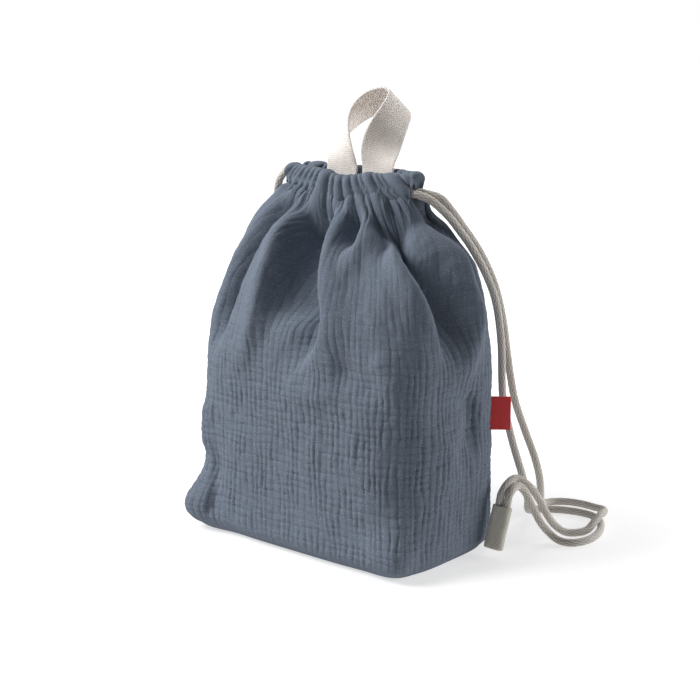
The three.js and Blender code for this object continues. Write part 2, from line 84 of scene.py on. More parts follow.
def signed_power(value: Array, power: Array | float) -> Array:
    """Returns a power of the size of a value, with the value's own sign."""
    return np.sign(value) * np.abs(value) ** power


def unit(vectors: Array) -> Array:
    """Returns vectors scaled to a length of one."""
    return vectors / np.maximum(np.linalg.norm(vectors, axis=-1, keepdims=True), TINY)


def square_to(vectors: Array, axes: Array) -> Array:
    """Returns unit vectors turned square to unit axes."""
    return unit(vectors - axes * (vectors * axes).sum(axis=-1, keepdims=True))


def arc_lengths(points: Array) -> Array:
    """Returns how far along a line of points each point lies."""
    return np.concatenate([[0.0], np.cumsum(np.linalg.norm(np.diff(points, axis=0), axis=1))])


def resample(points: Array, count: int) -> Array:
    """Returns a line of points again, evenly spaced.

    Args:
        points: The line's points.
        count: How many points to return.

    Returns:
        The new points.
    """
    along = arc_lengths(points)
    places = np.linspace(0, along[-1], count)
    return np.stack([np.interp(places, along, column) for column in points.T], axis=-1)


def smooth_route(points: Array, samples: int = ROUTE_SAMPLES) -> Array:
    """Returns a centripetal Catmull-Rom curve through points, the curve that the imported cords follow.

    Args:
        points: The points that the curve goes through.
        samples: How many points to take between two neighbours.

    Returns:
        The curve's points.
    """
    padded = np.concatenate([[2 * points[0] - points[1]], points, [2 * points[-1] - points[-2]]])
    places = np.linspace(0, 1, samples, endpoint=False)[:, None]
    pieces = []
    for first, start, end, last in zip(padded, padded[1:], padded[2:], padded[3:]):
        chords = np.diff([first, start, end, last], axis=0)
        before, during, after = np.sqrt(np.linalg.norm(chords, axis=1))
        leave = (start - first) / before - (end - first) / (before + during) + (end - start) / during
        arrive = (end - start) / during - (last - start) / (during + after) + (last - end) / after
        leave, arrive = leave * during, arrive * during
        square = -3 * start + 3 * end - 2 * leave - arrive
        cube = 2 * start - 2 * end + leave + arrive
        pieces.append(start + leave * places + square * places**2 + cube * places**3)
    return np.concatenate([*pieces, points[-1:]])


def softened(points: Array, reach: int) -> Array:
    """Returns a row of points with each one averaged over its neighbours.

    Args:
        points: The row's points.
        reach: How many neighbours to either side count.

    Returns:
        The softened points.
    """
    weights = np.hanning(2 * reach + 3)[1:-1]
    weights = weights / weights.sum()
    padded = np.pad(points, ((reach, reach), (0, 0)), mode="edge")
    return np.stack([np.convolve(column, weights, "valid") for column in padded.T], axis=-1)


def grid_normals(points: Array) -> Array:
    """Returns the unit normals of a grid of points, rows by columns by three."""
    return unit(np.cross(np.gradient(points, axis=1), np.gradient(points, axis=0)))


def spread(across: Array, along: Array) -> Array:
    """Returns the places of a grid in the cloth's plane, from its columns' and its rows' coordinates."""
    return np.stack(np.broadcast_arrays(across[None, :], along[:, None]), axis=-1)


def closed(ring: Array) -> Array:
    """Returns a ring of values with its first one again at its end."""
    return np.concatenate([ring, ring[:1]])


def half_turn(count: int) -> Array:
    """Returns angles from a quarter turn below the level to a quarter turn above it."""
    return np.linspace(-np.pi / 2, np.pi / 2, count)


class Grain:
    """Smooth seeded noise over a flat piece of cloth."""

    SIZE = 256

    def __init__(self, seed: int) -> None:
        """Draws the directions of the noise.

        Args:
            seed: The number that the draw starts from.
        """
        turns = np.random.default_rng(seed).uniform(0, 2 * np.pi, (self.SIZE, self.SIZE))
        self.slopes = np.stack([np.cos(turns), np.sin(turns)], axis=-1)

    @staticmethod
    def fade(share: Array) -> Array:
        """Returns a ramp from 0 to 1 that starts and ends level and unbent."""
        return share**3 * (share * (share * 6 - 15) + 10)

    def at(self, across: Array, along: Array) -> Array:
        """Returns the noise, from about -0.7 to 0.7, with one bump to a unit of length.

        Args:
            across: First coordinate of each place.
            along: Second coordinate of each place.

        Returns:
            One value for each place.
        """
        column, row = np.floor(across).astype(int), np.floor(along).astype(int)
        x, y = across - column, along - row

        def corner(right: int, top: int) -> Array:
            """Returns the part of the noise that comes from one corner of each place's square."""
            slope = self.slopes[(row + top) % self.SIZE, (column + right) % self.SIZE]
            return slope[..., 0] * (x - right) + slope[..., 1] * (y - top)

        low = mix(corner(0, 0), corner(1, 0), self.fade(x))
        high = mix(corner(0, 1), corner(1, 1), self.fade(x))
        return mix(low, high, self.fade(y))


@dataclass(frozen=True)
class Ripple:
    """One layer of bumps on cloth: their width, length and strength, and where in the noise they start."""

    width: float
    length: float
    strength: float = 1.0
    start: Range = (0.0, 0.0)

    def at(self, noise: Grain, grain: Array) -> Array:
        """Returns the layer's value at places in the cloth's plane.

        Args:
            noise: The noise that shapes the bumps.
            grain: The places, in metres.

        Returns:
            One value for each place.
        """
        across = grain[..., 0] / self.width + self.start[0]
        along = grain[..., 1] / self.length + self.start[1]
        return self.strength * noise.at(across, along)


def mesh_object(name: str, points: Array, faces: list,
                maps: dict[str, Array] | None = None) -> bpy.types.Object:
    """Makes a smooth-shaded mesh object.

    Args:
        name: The piece's name.
        points: Vertex places in metres.
        faces: Vertex numbers of each face.
        maps: Each face corner's place in the cloth's own plane, in metres, by the map's name.

    Returns:
        The new object, linked to the scene.
    """
    mesh = bpy.data.meshes.new(name)
    mesh.from_pydata(np.asarray(points, float).reshape(-1, 3).tolist(), [], faces)
    for map_name, corners in (maps or {}).items():
        layer = mesh.uv_layers.new(name=map_name)
        layer.data.foreach_set("uv", np.asarray(corners, np.float32).ravel())
    mesh.shade_smooth()
    piece = bpy.data.objects.new(name, mesh)
    bpy.context.scene.collection.objects.link(piece)
    return piece


def grid_object(name: str, points: Array, grain: Array, wrap_columns: bool = False, wrap_rows: bool = False,
                caps: bool = False, crinkle: Array | None = None) -> bpy.types.Object:
    """Makes a mesh object from a grid of points.

    Args:
        name: The piece's name.
        points: Rows by columns by three.
        grain: Places in the cloth's plane, rows by columns by two, one more of each where that way wraps.
        wrap_columns: Whether the last column meets the first.
        wrap_rows: Whether the last row meets the first.
        caps: Whether the first and last rows are closed by a fan.
        crinkle: A second map in the layout of grain, for the crinkles of gauze or the crowns of a braid.

    Returns:
        The new object.
    """
    rows, columns = points.shape[:2]
    row_faces, column_faces = rows - (not wrap_rows), columns - (not wrap_columns)
    r, c = np.meshgrid(np.arange(row_faces), np.arange(column_faces), indexing="ij")
    r, c = r.ravel(), c.ravel()
    steps = [(0, 0), (0, 1), (1, 1), (1, 0)]
    faces = np.stack([((r + i) % rows) * columns + (c + j) % columns for i, j in steps], axis=-1).tolist()
    layouts = {GRAIN_MAP: grain} if crinkle is None else {GRAIN_MAP: grain, CRINKLE_MAP: crinkle}
    maps = {key: np.stack([plane[r + i, c + j] for i, j in steps], axis=1).reshape(-1, 2)
            for key, plane in layouts.items()}
    vertices = points.reshape(-1, 3)
    if caps:
        first_centre, last_row = len(vertices), (rows - 1) * columns
        vertices = np.concatenate([vertices, [points[0].mean(axis=0), points[-1].mean(axis=0)]])
        corners = []
        for column in range(columns):
            following = (column + 1) % columns
            faces.append([first_centre, following, column])
            faces.append([first_centre + 1, last_row + column, last_row + following])
            corners += [(row, at) for row in (0, -1) for at in (column, column + 1, column)]
        maps = {key: np.concatenate([maps[key], np.array([plane[corner] for corner in corners])])
                for key, plane in layouts.items()}
    return mesh_object(name, vertices, faces, maps)


class Bench:
    """Sets out and joins the nodes of a material or of the world."""

    MIX_SHARE, MIX_FIRST, MIX_SECOND, MIX_RESULT = 0, 6, 7, 2

    def __init__(self, owner: bpy.types.Material | bpy.types.World) -> None:
        """Starts with no nodes.

        Args:
            owner: The material or world that the nodes belong to.
        """
        owner.use_nodes = True
        self.owner = owner
        self.tree = owner.node_tree
        self.tree.nodes.clear()

    def node(self, kind: str, inputs: dict | None = None, **settings: object) -> bpy.types.Node:
        """Adds a node.

        Args:
            kind: The node's type, without the ShaderNode prefix.
            inputs: Input sockets by name or number, each with a value or a socket to join.
            settings: The node's own settings.

        Returns:
            The node.
        """
        made = self.tree.nodes.new("ShaderNode" + kind)
        for key, value in settings.items():
            setattr(made, key, value)
        for key, value in (inputs or {}).items():
            if isinstance(value, bpy.types.NodeSocket):
                self.tree.links.new(value, made.inputs[key])
            else:
                made.inputs[key].default_value = value
        return made

    def math(self, operation: str, first: Socket | float, second: Socket | float = 0.0) -> Socket:
        """Returns the result of a sum on two values or sockets."""
        return self.node("Math", {0: first, 1: second}, operation=operation).outputs[0]

    def blend(self, *parts: tuple[Socket, float]) -> Socket:
        """Returns the sum of sockets, each times its share.

        Args:
            parts: Each socket and its share.

        Returns:
            The sum's socket.
        """
        scaled = [self.math("MULTIPLY", socket, share) for socket, share in parts]
        total = scaled[0]
        for part in scaled[1:]:
            total = self.math("ADD", total, part)
        return total

    def remap(self, value: Socket, start: Range,
              end: tuple[Socket | float, Socket | float] = (0.0, 1.0)) -> Socket:
        """Returns a value moved from one range to another, and kept inside it."""
        ends = {"From Min": start[0], "From Max": start[1], "To Min": end[0], "To Max": end[1]}
        return self.node("MapRange", {"Value": value} | ends).outputs[0]

    def weakened(self, pattern: Socket, strength: Socket) -> Socket:
        """Returns a pattern that is drawn towards 1 where its strength is low."""
        gap = self.math("MULTIPLY", strength, self.math("SUBTRACT", 1.0, pattern))
        return self.math("SUBTRACT", 1.0, gap)

    def axes(self, place: Socket) -> list[Socket]:
        """Returns a place's coordinates."""
        return list(self.node("SeparateXYZ", {0: place}).outputs)

    def layout(self, name: str) -> Socket:
        """Returns the places of one of a piece's maps."""
        return self.node("UVMap", uv_map=name).outputs[0]

    def grain(self, across: float, along: float) -> Socket:
        """Returns cloth coordinates with so many units to a metre each way."""
        inputs = {"Vector": self.layout(GRAIN_MAP), "Scale": (across, along, 1.0)}
        return self.node("Mapping", inputs).outputs[0]

    def noise(self, place: Socket, detail: float = 2.0, rough: float = 0.5) -> Socket:
        """Returns soft noise at a place, with one bump to a unit of length."""
        inputs = {"Vector": place, "Scale": 1.0, "Detail": detail, "Roughness": rough}
        return self.node("TexNoise", inputs).outputs["Fac"]

    def ramp(self, value: Socket, stops: list[tuple[float, Colour]]) -> Socket:
        """Returns the colour of a value on a ramp.

        Args:
            value: The value's socket.
            stops: The ramp's places and the colour at each.

        Returns:
            The colour's socket.
        """
        made = self.node("ValToRGB", {"Fac": value})
        ramp = made.color_ramp
        while len(ramp.elements) < len(stops):
            ramp.elements.new(1.0)
        for element, (place, colour) in zip(ramp.elements, stops):
            element.position = place
            element.color = colour
        return made.outputs["Color"]

    def mixed(self, share: Socket | float, first: Socket, second: Socket | Colour,
              mode: str = "MIX") -> Socket:
        """Returns a share of a second colour over a first one."""
        inputs = {self.MIX_SHARE: share, self.MIX_FIRST: first, self.MIX_SECOND: second}
        return self.node("Mix", inputs, data_type="RGBA", blend_type=mode).outputs[self.MIX_RESULT]

    def bump(self, height: Socket, distance: float, strength: float = 1.0,
             under: Socket | None = None) -> Socket:
        """Returns a normal that is raised by a height.

        Args:
            height: The height's socket, from 0 to 1.
            distance: How far a height of 1 stands, in metres.
            strength: How much of it shows.
            under: The normal that it is raised on, if it isn't the mesh's own.

        Returns:
            The normal's socket.
        """
        inputs = {"Height": height, "Distance": distance, "Strength": strength}
        if under is not None:
            inputs["Normal"] = under
        return self.node("Bump", inputs).outputs[0]

    def shown(self) -> Socket:
        """Tells rays that show the background apart: to the camera, mirrored or through glass.

        Returns:
            A socket that is 1 or more for those rays and 0 for others.
        """
        rays = self.node("LightPath").outputs
        straight = self.math("ADD", rays["Is Camera Ray"], rays["Is Glossy Ray"])
        return self.math("ADD", straight, rays["Is Transmission Ray"])

    def close(self, shader: bpy.types.Node, output: str = "OutputMaterial") -> None:
        """Joins a shader to a new output."""
        self.tree.links.new(shader.outputs[0], self.node(output).inputs["Surface"])

    def finish(self, inputs: dict) -> bpy.types.Material:
        """Joins a surface shader with these inputs to the output and returns the material."""
        self.close(self.node("BsdfPrincipled", inputs))
        return self.owner


def srgb(red: int, green: int, blue: int) -> Colour:
    """Returns the linear colour of an 8-bit screen colour.

    Args:
        red: Red, from 0 to 255.
        green: Green, from 0 to 255.
        blue: Blue, from 0 to 255.

    Returns:
        The colour, with an alpha of one.
    """
    shares = np.array([red, green, blue]) / 255
    linear = np.where(shares <= 0.04045, shares / 12.92, ((shares + 0.055) / 1.055) ** 2.4)
    return (*linear.tolist(), 1.0)


def shade(colour: Colour, factor: float) -> Colour:
    """Returns a colour made darker or lighter by a factor."""
    return (colour[0] * factor, colour[1] * factor, colour[2] * factor, 1.0)


WHITE: Colour = (1.0, 1.0, 1.0, 1.0)
EVEN_GLOW: Point = (1.0, 1.0, 1.0)
SHEEN_ROUGHNESS = 0.5


@dataclass(frozen=True)
class GauzeFinish:
    """Crinkled cotton double gauze: fine threads, and soft ribs with creases between them both ways, with
    painted shade in the creases and painted light on the ribs' crowns.
    """

    name: str = "slate_gauze"
    colour: Colour = srgb(108, 117, 130)
    tones: tuple[Range, ...] = ((0.3, 0.62), (0.58, 1.0), (0.76, 1.25))
    thread_pitch: float = 1.1 * MM
    thread_stretch: float = 8.0
    thread_depth: float = 0.25 * MM
    thread_bump: float = 0.6
    speckle_roughness: float = 0.7
    fleck_size: float = 1.3 * MM
    fleck_range: Range = (0.62, 0.76)
    fleck_strength: float = 0.42
    fleck_tone: float = 2.0
    rib_pitch: float = 5.9 * MM
    row_pitch: float = 6.3 * MM
    rib_roundness: float = 0.35
    patch_width: float = 9 * MM
    patch_length: float = 20 * MM
    patch_range: Range = (0.36, 0.66)
    patch_least: float = 0.25
    crease_depth: float = 0.8 * MM
    # Share of the waffle in the colour: painted shade in the creases, painted light on the crowns.
    painted_crease_shade: float = 0.32
    crease_top: float = 270 * MM
    crease_full: float = 170 * MM
    upright_least: float = 0.4
    upright_share: float = 0.65
    roughness: float = 0.95
    sheen: float = 0.05
    specular: float = 0.1

    def ribs(self, bench: Bench, place: Socket, pitch: float, patch: Range) -> Socket:
        """Returns rounded ribs across a coordinate, 0 in the creases and 1 on the crowns, in patches.

        Args:
            bench: The material's bench.
            place: The coordinate in metres.
            pitch: The ribs' spacing.
            patch: The width and length of the patches in which they stand out.

        Returns:
            The pattern's socket.
        """
        wave = bench.math("ABSOLUTE", bench.math("SINE", bench.math("MULTIPLY", place, math.pi / pitch)))
        strength = bench.noise(bench.grain(1 / patch[0], 1 / patch[1]), 1.0)
        strength = bench.remap(strength, self.patch_range, (self.patch_least, 1.0))
        return bench.weakened(bench.math("POWER", wave, self.rib_roundness), strength)

    def waffle(self, bench: Bench) -> Socket:
        """Returns the ribs up and across the cloth, which fade towards the gathered mouth.

        Args:
            bench: The material's bench.

        Returns:
            The pattern's socket.
        """
        across, along, _ = bench.axes(bench.layout(CRINKLE_MAP))
        rise = bench.axes(bench.grain(1.0, 1.0))[1]
        low = bench.remap(rise, (self.crease_top, self.crease_full))
        upright = self.ribs(bench, across, self.rib_pitch, (self.patch_width, self.patch_length))
        upright = bench.weakened(upright, bench.remap(low, (0.0, 1.0), (self.upright_least, 1.0)))
        level = self.ribs(bench, along, self.row_pitch, (self.patch_length, self.patch_width))
        level = bench.weakened(level, low)
        return bench.blend((upright, self.upright_share), (level, 1 - self.upright_share))

    def material(self) -> bpy.types.Material:
        """Makes the finish.

        Returns:
            The new material.
        """
        bench = Bench(bpy.data.materials.new(self.name))
        fine = 1 / self.thread_pitch
        warp = bench.noise(bench.grain(fine, fine / self.thread_stretch), 1.0)
        weft = bench.noise(bench.grain(fine / self.thread_stretch, fine), 1.0)
        threads = bench.blend((warp, 0.5), (weft, 0.5))
        waffle = self.waffle(bench)
        spot = bench.grain(1 / self.fleck_size, 1 / self.fleck_size)
        speckle = bench.noise(spot, 2.0, self.speckle_roughness)
        tone = bench.blend((threads, 0.5), (speckle, 0.5))
        # Painted shade and light: the waffle pulls the tone down in the creases and up on the crowns, over
        # the threads' and speckles' own random tone.
        tone = bench.blend((waffle, self.painted_crease_shade), (tone, 1 - self.painted_crease_shade))
        plain = bench.ramp(tone, [(place, shade(self.colour, factor)) for place, factor in self.tones])
        flecks = bench.remap(bench.noise(spot, 0.0), self.fleck_range, (0.0, self.fleck_strength))
        normal = bench.bump(threads, self.thread_depth, self.thread_bump)
        return bench.finish({
            "Base Color": bench.mixed(flecks, plain, shade(self.colour, self.fleck_tone)),
            "Normal": bench.bump(waffle, self.crease_depth, 1.0, normal),
            "Roughness": self.roughness,
            "Specular IOR Level": self.specular,
            "Sheen Weight": self.sheen,
            "Sheen Roughness": SHEEN_ROUGHNESS,
        })

    def uncreased(self, layout: Array) -> Array:
        """Returns a crinkle map in a layout that leaves the cloth without creases."""
        return np.broadcast_to(np.array([self.rib_pitch / 2, self.row_pitch / 2]), layout.shape)


@dataclass(frozen=True)
class WovenFinish:
    """A plain woven cotton, such as webbing, lining or ribbon, with painted shade between the weave's floats
    and painted light on their crowns.
    """

    name: str
    colour: Colour
    rib_pitch: float
    pick_pitch: float
    depth: float
    contrast: float = 0.16
    roughness: float = 0.9
    sheen: float = 0.15
    glow: float = 0.0
    glow_reach: float = 3 * MM
    # How much less the painted light on the crowns lifts the colour than the painted shade in the gaps lowers
    # it.
    crown_share: float = 1 / 3
    tone_range: Range = (0.2, 0.75)
    yarn_scale: Range = (0.7, 0.12)
    blotch_scale: float = 60.0
    weave_share: float = 0.45
    yarn_share: float = 0.35
    blotch_share: float = 0.2
    weave_bump: float = 0.8
    specular: float = 0.2

    def weave(self, bench: Bench) -> Socket:
        """Returns the floats of the weave, each row staggered by half a rib.

        Args:
            bench: The material's bench.

        Returns:
            The pattern's socket, 0 between the floats and 1 on their crowns.
        """
        across, along, _ = bench.axes(bench.grain(1 / self.rib_pitch, 1 / self.pick_pitch))
        stagger = bench.math("MULTIPLY", bench.math("FLOOR", along), 0.5)
        rib = bench.math("FRACT", bench.math("ADD", across, stagger))
        rib = bench.math("SINE", bench.math("MULTIPLY", rib, math.pi))
        pick = bench.math("SINE", bench.math("MULTIPLY", bench.math("FRACT", along), math.pi))
        return bench.math("POWER", bench.math("MULTIPLY", rib, pick), 0.5)

    def material(self) -> bpy.types.Material:
        """Makes the finish.

        Returns:
            The new material.
        """
        bench = Bench(bpy.data.materials.new(self.name))
        weave = self.weave(bench)
        across, along = self.yarn_scale
        yarn = bench.noise(bench.grain(across / self.rib_pitch, along / self.pick_pitch))
        blotch = bench.noise(bench.grain(self.blotch_scale, self.blotch_scale))
        # The weave sets the colour as well as the bump: painted shade between the floats and painted light on
        # their crowns, mixed with the yarn's and blotches' own random tone.
        tone = bench.blend((weave, self.weave_share), (yarn, self.yarn_share), (blotch, self.blotch_share))
        dark = shade(self.colour, 1 - self.contrast)
        light = shade(self.colour, 1 + self.contrast * self.crown_share)
        return bench.finish({
            "Base Color": bench.ramp(tone, list(zip(self.tone_range, (dark, light)))),
            "Normal": bench.bump(tone, self.depth, self.weave_bump),
            "Roughness": self.roughness,
            "Specular IOR Level": self.specular,
            "Sheen Weight": self.sheen,
            "Sheen Roughness": SHEEN_ROUGHNESS,
            "Subsurface Weight": self.glow,
            "Subsurface Scale": self.glow_reach,
            "Subsurface Radius": EVEN_GLOW,
        })


@dataclass(frozen=True)
class RopeFinish:
    """Soft spun cotton of a braided cord, with painted shade in the grooves between its plaits."""

    name: str = "cord_cotton"
    colour: Colour = srgb(240, 233, 225)
    tones: tuple[Range, ...] = ((0.3, 0.86), (0.7, 1.05))
    # Painted shade: how dark the grooves between the plaits are painted, as a share of the colour.
    painted_groove_shade: float = 0.42
    groove_shade_range: Range = (0.3, 0.85)
    fibre_pitch: float = 0.35 * MM
    fibre_stretch: float = 4.0
    fibre_share: float = 0.6
    fibre_depth: float = 0.15 * MM
    fibre_bump: float = 0.6
    blotch_scale: Range = (120.0, 60.0)
    roughness: float = 0.92
    sheen: float = 0.15
    specular: float = 0.2
    glow: float = 0.4
    glow_reach: float = 3 * MM

    def material(self) -> bpy.types.Material:
        """Makes the finish.

        Returns:
            The new material.
        """
        bench = Bench(bpy.data.materials.new(self.name))
        fine = 1 / self.fibre_pitch
        fibre = bench.noise(bench.grain(fine, fine / self.fibre_stretch))
        blotch = bench.noise(bench.grain(*self.blotch_scale))
        tone = bench.blend((fibre, self.fibre_share), (blotch, 1 - self.fibre_share))
        plain = bench.ramp(tone, [(place, shade(self.colour, factor)) for place, factor in self.tones])
        # Painted shade in the grooves: the braid's relief, from the crinkle map, darkens the colour where it
        # is low.
        relief = bench.axes(bench.layout(CRINKLE_MAP))[0]
        ends = (shade(WHITE, self.painted_groove_shade), WHITE)
        crowns = bench.ramp(relief, list(zip(self.groove_shade_range, ends)))
        return bench.finish({
            "Base Color": bench.mixed(1.0, plain, crowns, "MULTIPLY"),
            "Normal": bench.bump(fibre, self.fibre_depth, self.fibre_bump),
            "Roughness": self.roughness,
            "Specular IOR Level": self.specular,
            "Sheen Weight": self.sheen,
            "Sheen Roughness": SHEEN_ROUGHNESS,
            "Subsurface Weight": self.glow,
            "Subsurface Scale": self.glow_reach,
            "Subsurface Radius": EVEN_GLOW,
        })


Finish = GauzeFinish | WovenFinish | RopeFinish

GAUZE = GauzeFinish()
LINING = WovenFinish("lining_cotton", srgb(96, 105, 116), 0.5 * MM, 0.5 * MM, 0.1 * MM)
WEBBING = WovenFinish("cream_webbing", srgb(248, 237, 230), 2.6 * MM, 1.7 * MM, 0.6 * MM, 0.3, glow=0.9)
TAB_TAPE = WovenFinish("tab_tape", srgb(222, 217, 205), 2.0 * MM, 1.6 * MM, 0.5 * MM, 0.3, glow=0.5)
RIBBON = WovenFinish("tag_ribbon", srgb(220, 76, 80), 1.0 * MM, 0.9 * MM, 0.12 * MM, 0.2, 0.7, glow=0.5)
ROPE = RopeFinish()


class Body(Enum):
    """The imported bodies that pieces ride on."""

    BAG = "bag"
    HANDLE = "handle"
    TAG = "tag"


class Slot(Enum):
    """The record's material slots."""

    CLOTH = "cloth"
    LINING = "lining"
    CORD = "cord"
    WEBBING = "webbing"
    TAG = "tag"


class Side(Enum):
    """The front and the back of the bag, by the way they lie from its middle."""

    FRONT = -1
    BACK = 1


class Hand(Enum):
    """The two drawcords, by the side of the bag that their strands hang on."""

    RIGHT = 1
    LEFT = -1


class Dresser:
    """Gives pieces their material and body, and keeps each material once."""

    def __init__(self) -> None:
        """Starts with no materials made."""
        self.made: dict[str, bpy.types.Material] = {}

    def dress(self, piece: bpy.types.Object, finish: Finish, body: Body | None = Body.BAG,
              nodes: tuple[str, ...] = ()) -> None:
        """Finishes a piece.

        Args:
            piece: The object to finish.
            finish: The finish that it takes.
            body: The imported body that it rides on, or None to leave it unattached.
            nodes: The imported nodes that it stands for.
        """
        if finish.name not in self.made:
            self.made[finish.name] = finish.material()
        piece.data.materials.clear()
        piece.data.materials.append(self.made[finish.name])
        if body is not None:
            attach(piece, body.value)
        if nodes:
            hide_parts(*nodes)
        LOG.info("%s: %d vertices", piece.name, len(piece.data.vertices))


@dataclass(frozen=True)
class BagForm:
    """The bag's smooth form before its folds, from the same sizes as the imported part."""

    base_width: float = 235 * MM
    base_depth: float = 144 * MM
    base_squareness: float = 4.5
    base_round: float = 16 * MM
    base_seam: float = 5 * MM
    shoulder: float = 150 * MM
    height: float = 290 * MM
    dome_power: float = 0.63
    mouth_width: float = 130 * MM
    mouth_depth: float = 40 * MM
    mouth_shift: float = 10 * MM
    mouth_squareness: float = 2.5
    seam_at_base: float = 34 * MM
    seam_at_shoulder: float = 55 * MM
    corners: int = 4
    flares: tuple[float, float, float, float] = (2 * MM, 4 * MM, 22 * MM, 13 * MM)
    flare_sharpness: int = 3
    flare_height: float = 22 * MM
    flare_spread: float = 25 * MM
    cloth_width: float = 690 * MM
    front_share: float = 0.0
    right_share: float = 0.25
    ring_samples: int = 2880
    profile_samples: int = 400

    def gather(self, z: float) -> float:
        """Returns how far the bag is drawn in at a height, from 0 at the shoulder to 1 at the mouth."""
        rise = min(max((z - self.shoulder) / (self.height - self.shoulder), 0.0), 1.0)
        return 1 - (1 - rise * rise) ** self.dome_power

    def flare(self, angle: Array, z: float) -> Array:
        """Returns how far the lower corners stand out.

        Args:
            angle: Angles round the bag, from its right.
            z: The height.

        Returns:
            The distance at each angle.
        """
        back_right, back_left, front_left, front_right = self.flares
        right, back = np.cos(angle) > 0, np.sin(angle) > 0
        behind, ahead = np.where(right, back_right, back_left), np.where(right, front_right, front_left)
        corner = ((1 - np.cos(self.corners * angle)) / 2) ** self.flare_sharpness
        return np.where(back, behind, ahead) * corner * bell((z - self.flare_height) / self.flare_spread)

    def ring(self, z: float) -> Array:
        """Returns a closed ring of the outer face, from the front's middle by way of the right.

        Args:
            z: The ring's height.

        Returns:
            The ring's points.
        """
        start = -np.pi / 2
        angle = np.linspace(start, start + 2 * np.pi, self.ring_samples + 1)
        cos, sin = np.cos(angle), np.sin(angle)
        gather, flare = self.gather(z), self.flare(angle, z)
        below = max(0.0, self.base_round - z)
        inset = self.base_round - math.sqrt(self.base_round**2 - below**2)
        power = 2 / mix(self.base_squareness, self.mouth_squareness, math.sqrt(gather))
        half_width = mix(self.base_width, self.mouth_width, gather) / 2 - inset
        half_depth = mix(self.base_depth, self.mouth_depth, gather) / 2 - inset
        x = half_width * signed_power(cos, power) + flare * cos
        y = half_depth * signed_power(sin, power) + flare * sin + self.mouth_shift * gather
        return np.stack([x, y, np.full_like(x, z)], axis=-1)

    def row(self, z: float, shares: Array) -> Array:
        """Returns points of a ring.

        Args:
            z: The ring's height.
            shares: Shares of the way round it, from the front's middle by way of the right.

        Returns:
            One point for each share.
        """
        ring = self.ring(z)
        along = arc_lengths(ring)
        places = np.mod(shares, 1.0) * along[-1]
        return np.stack([np.interp(places, along, column) for column in ring.T], axis=-1)

    def heights(self, low: float, high: float, count: int) -> Array:
        """Returns heights whose rings are evenly spaced along the bag's profile.

        Args:
            low: The lowest height.
            high: The highest height.
            count: How many heights to return.

        Returns:
            The heights.
        """
        fine = np.linspace(low, high, self.profile_samples)
        rows = np.array([self.row(z, np.array([self.front_share, self.right_share])) for z in fine])
        profile = np.stack([rows[:, 0, 1], rows[:, 1, 0]], axis=-1)
        steps = np.sqrt(np.diff(fine) ** 2 + (np.diff(profile, axis=0) ** 2).mean(axis=1))
        along = np.concatenate([[0.0], np.cumsum(steps)])
        return np.interp(np.linspace(0, along[-1], count), along, fine)

    def seam_setback(self, z: float) -> float:
        """Returns how far behind the middle the side seams run at a height."""
        on_wall = mix(self.seam_at_base, self.seam_at_shoulder, min(max(z / self.shoulder, 0.0), 1.0))
        return mix(on_wall, self.mouth_shift, self.gather(z))

    def seam_shares(self, z: float) -> tuple[float, float]:
        """Returns where the side seams run.

        Args:
            z: The height.

        Returns:
            The shares of the way round of the right and the left seam.
        """
        ring = self.ring(z)
        along = arc_lengths(ring)
        along = along / along[-1]
        half = self.ring_samples // 2
        setback = self.seam_setback(z)
        right = np.interp(setback, ring[: half + 1, 1], along[: half + 1])
        left = np.interp(setback, ring[half:, 1][::-1], along[half:][::-1])
        return float(right), float(left)

    def seam_point(self, z: float) -> Array:
        """Returns the right seam's point at a height."""
        return self.row(z, np.array([self.seam_shares(z)[0]]))[0]


class FoldKind(Enum):
    """Whether a fold stands out of the cloth or sinks into it."""

    RIDGE = 1
    VALLEY = -1


@dataclass(frozen=True)
class Fold:
    """One fold, in mm: a line of (share round the bag, height), its depth, and its reach to either side.

    It grows over the first share of its line (fade_in), dies away over the last one (fade_out), and is
    so many times wider at its end than at its start (widen).
    """

    kind: FoldKind
    line: tuple[Range, ...]
    depth: float
    left: float
    right: float
    fade_in: float = 0.02
    fade_out: float = 0.5
    widen: float = 1.5


RIDGE, VALLEY = FoldKind.RIDGE, FoldKind.VALLEY

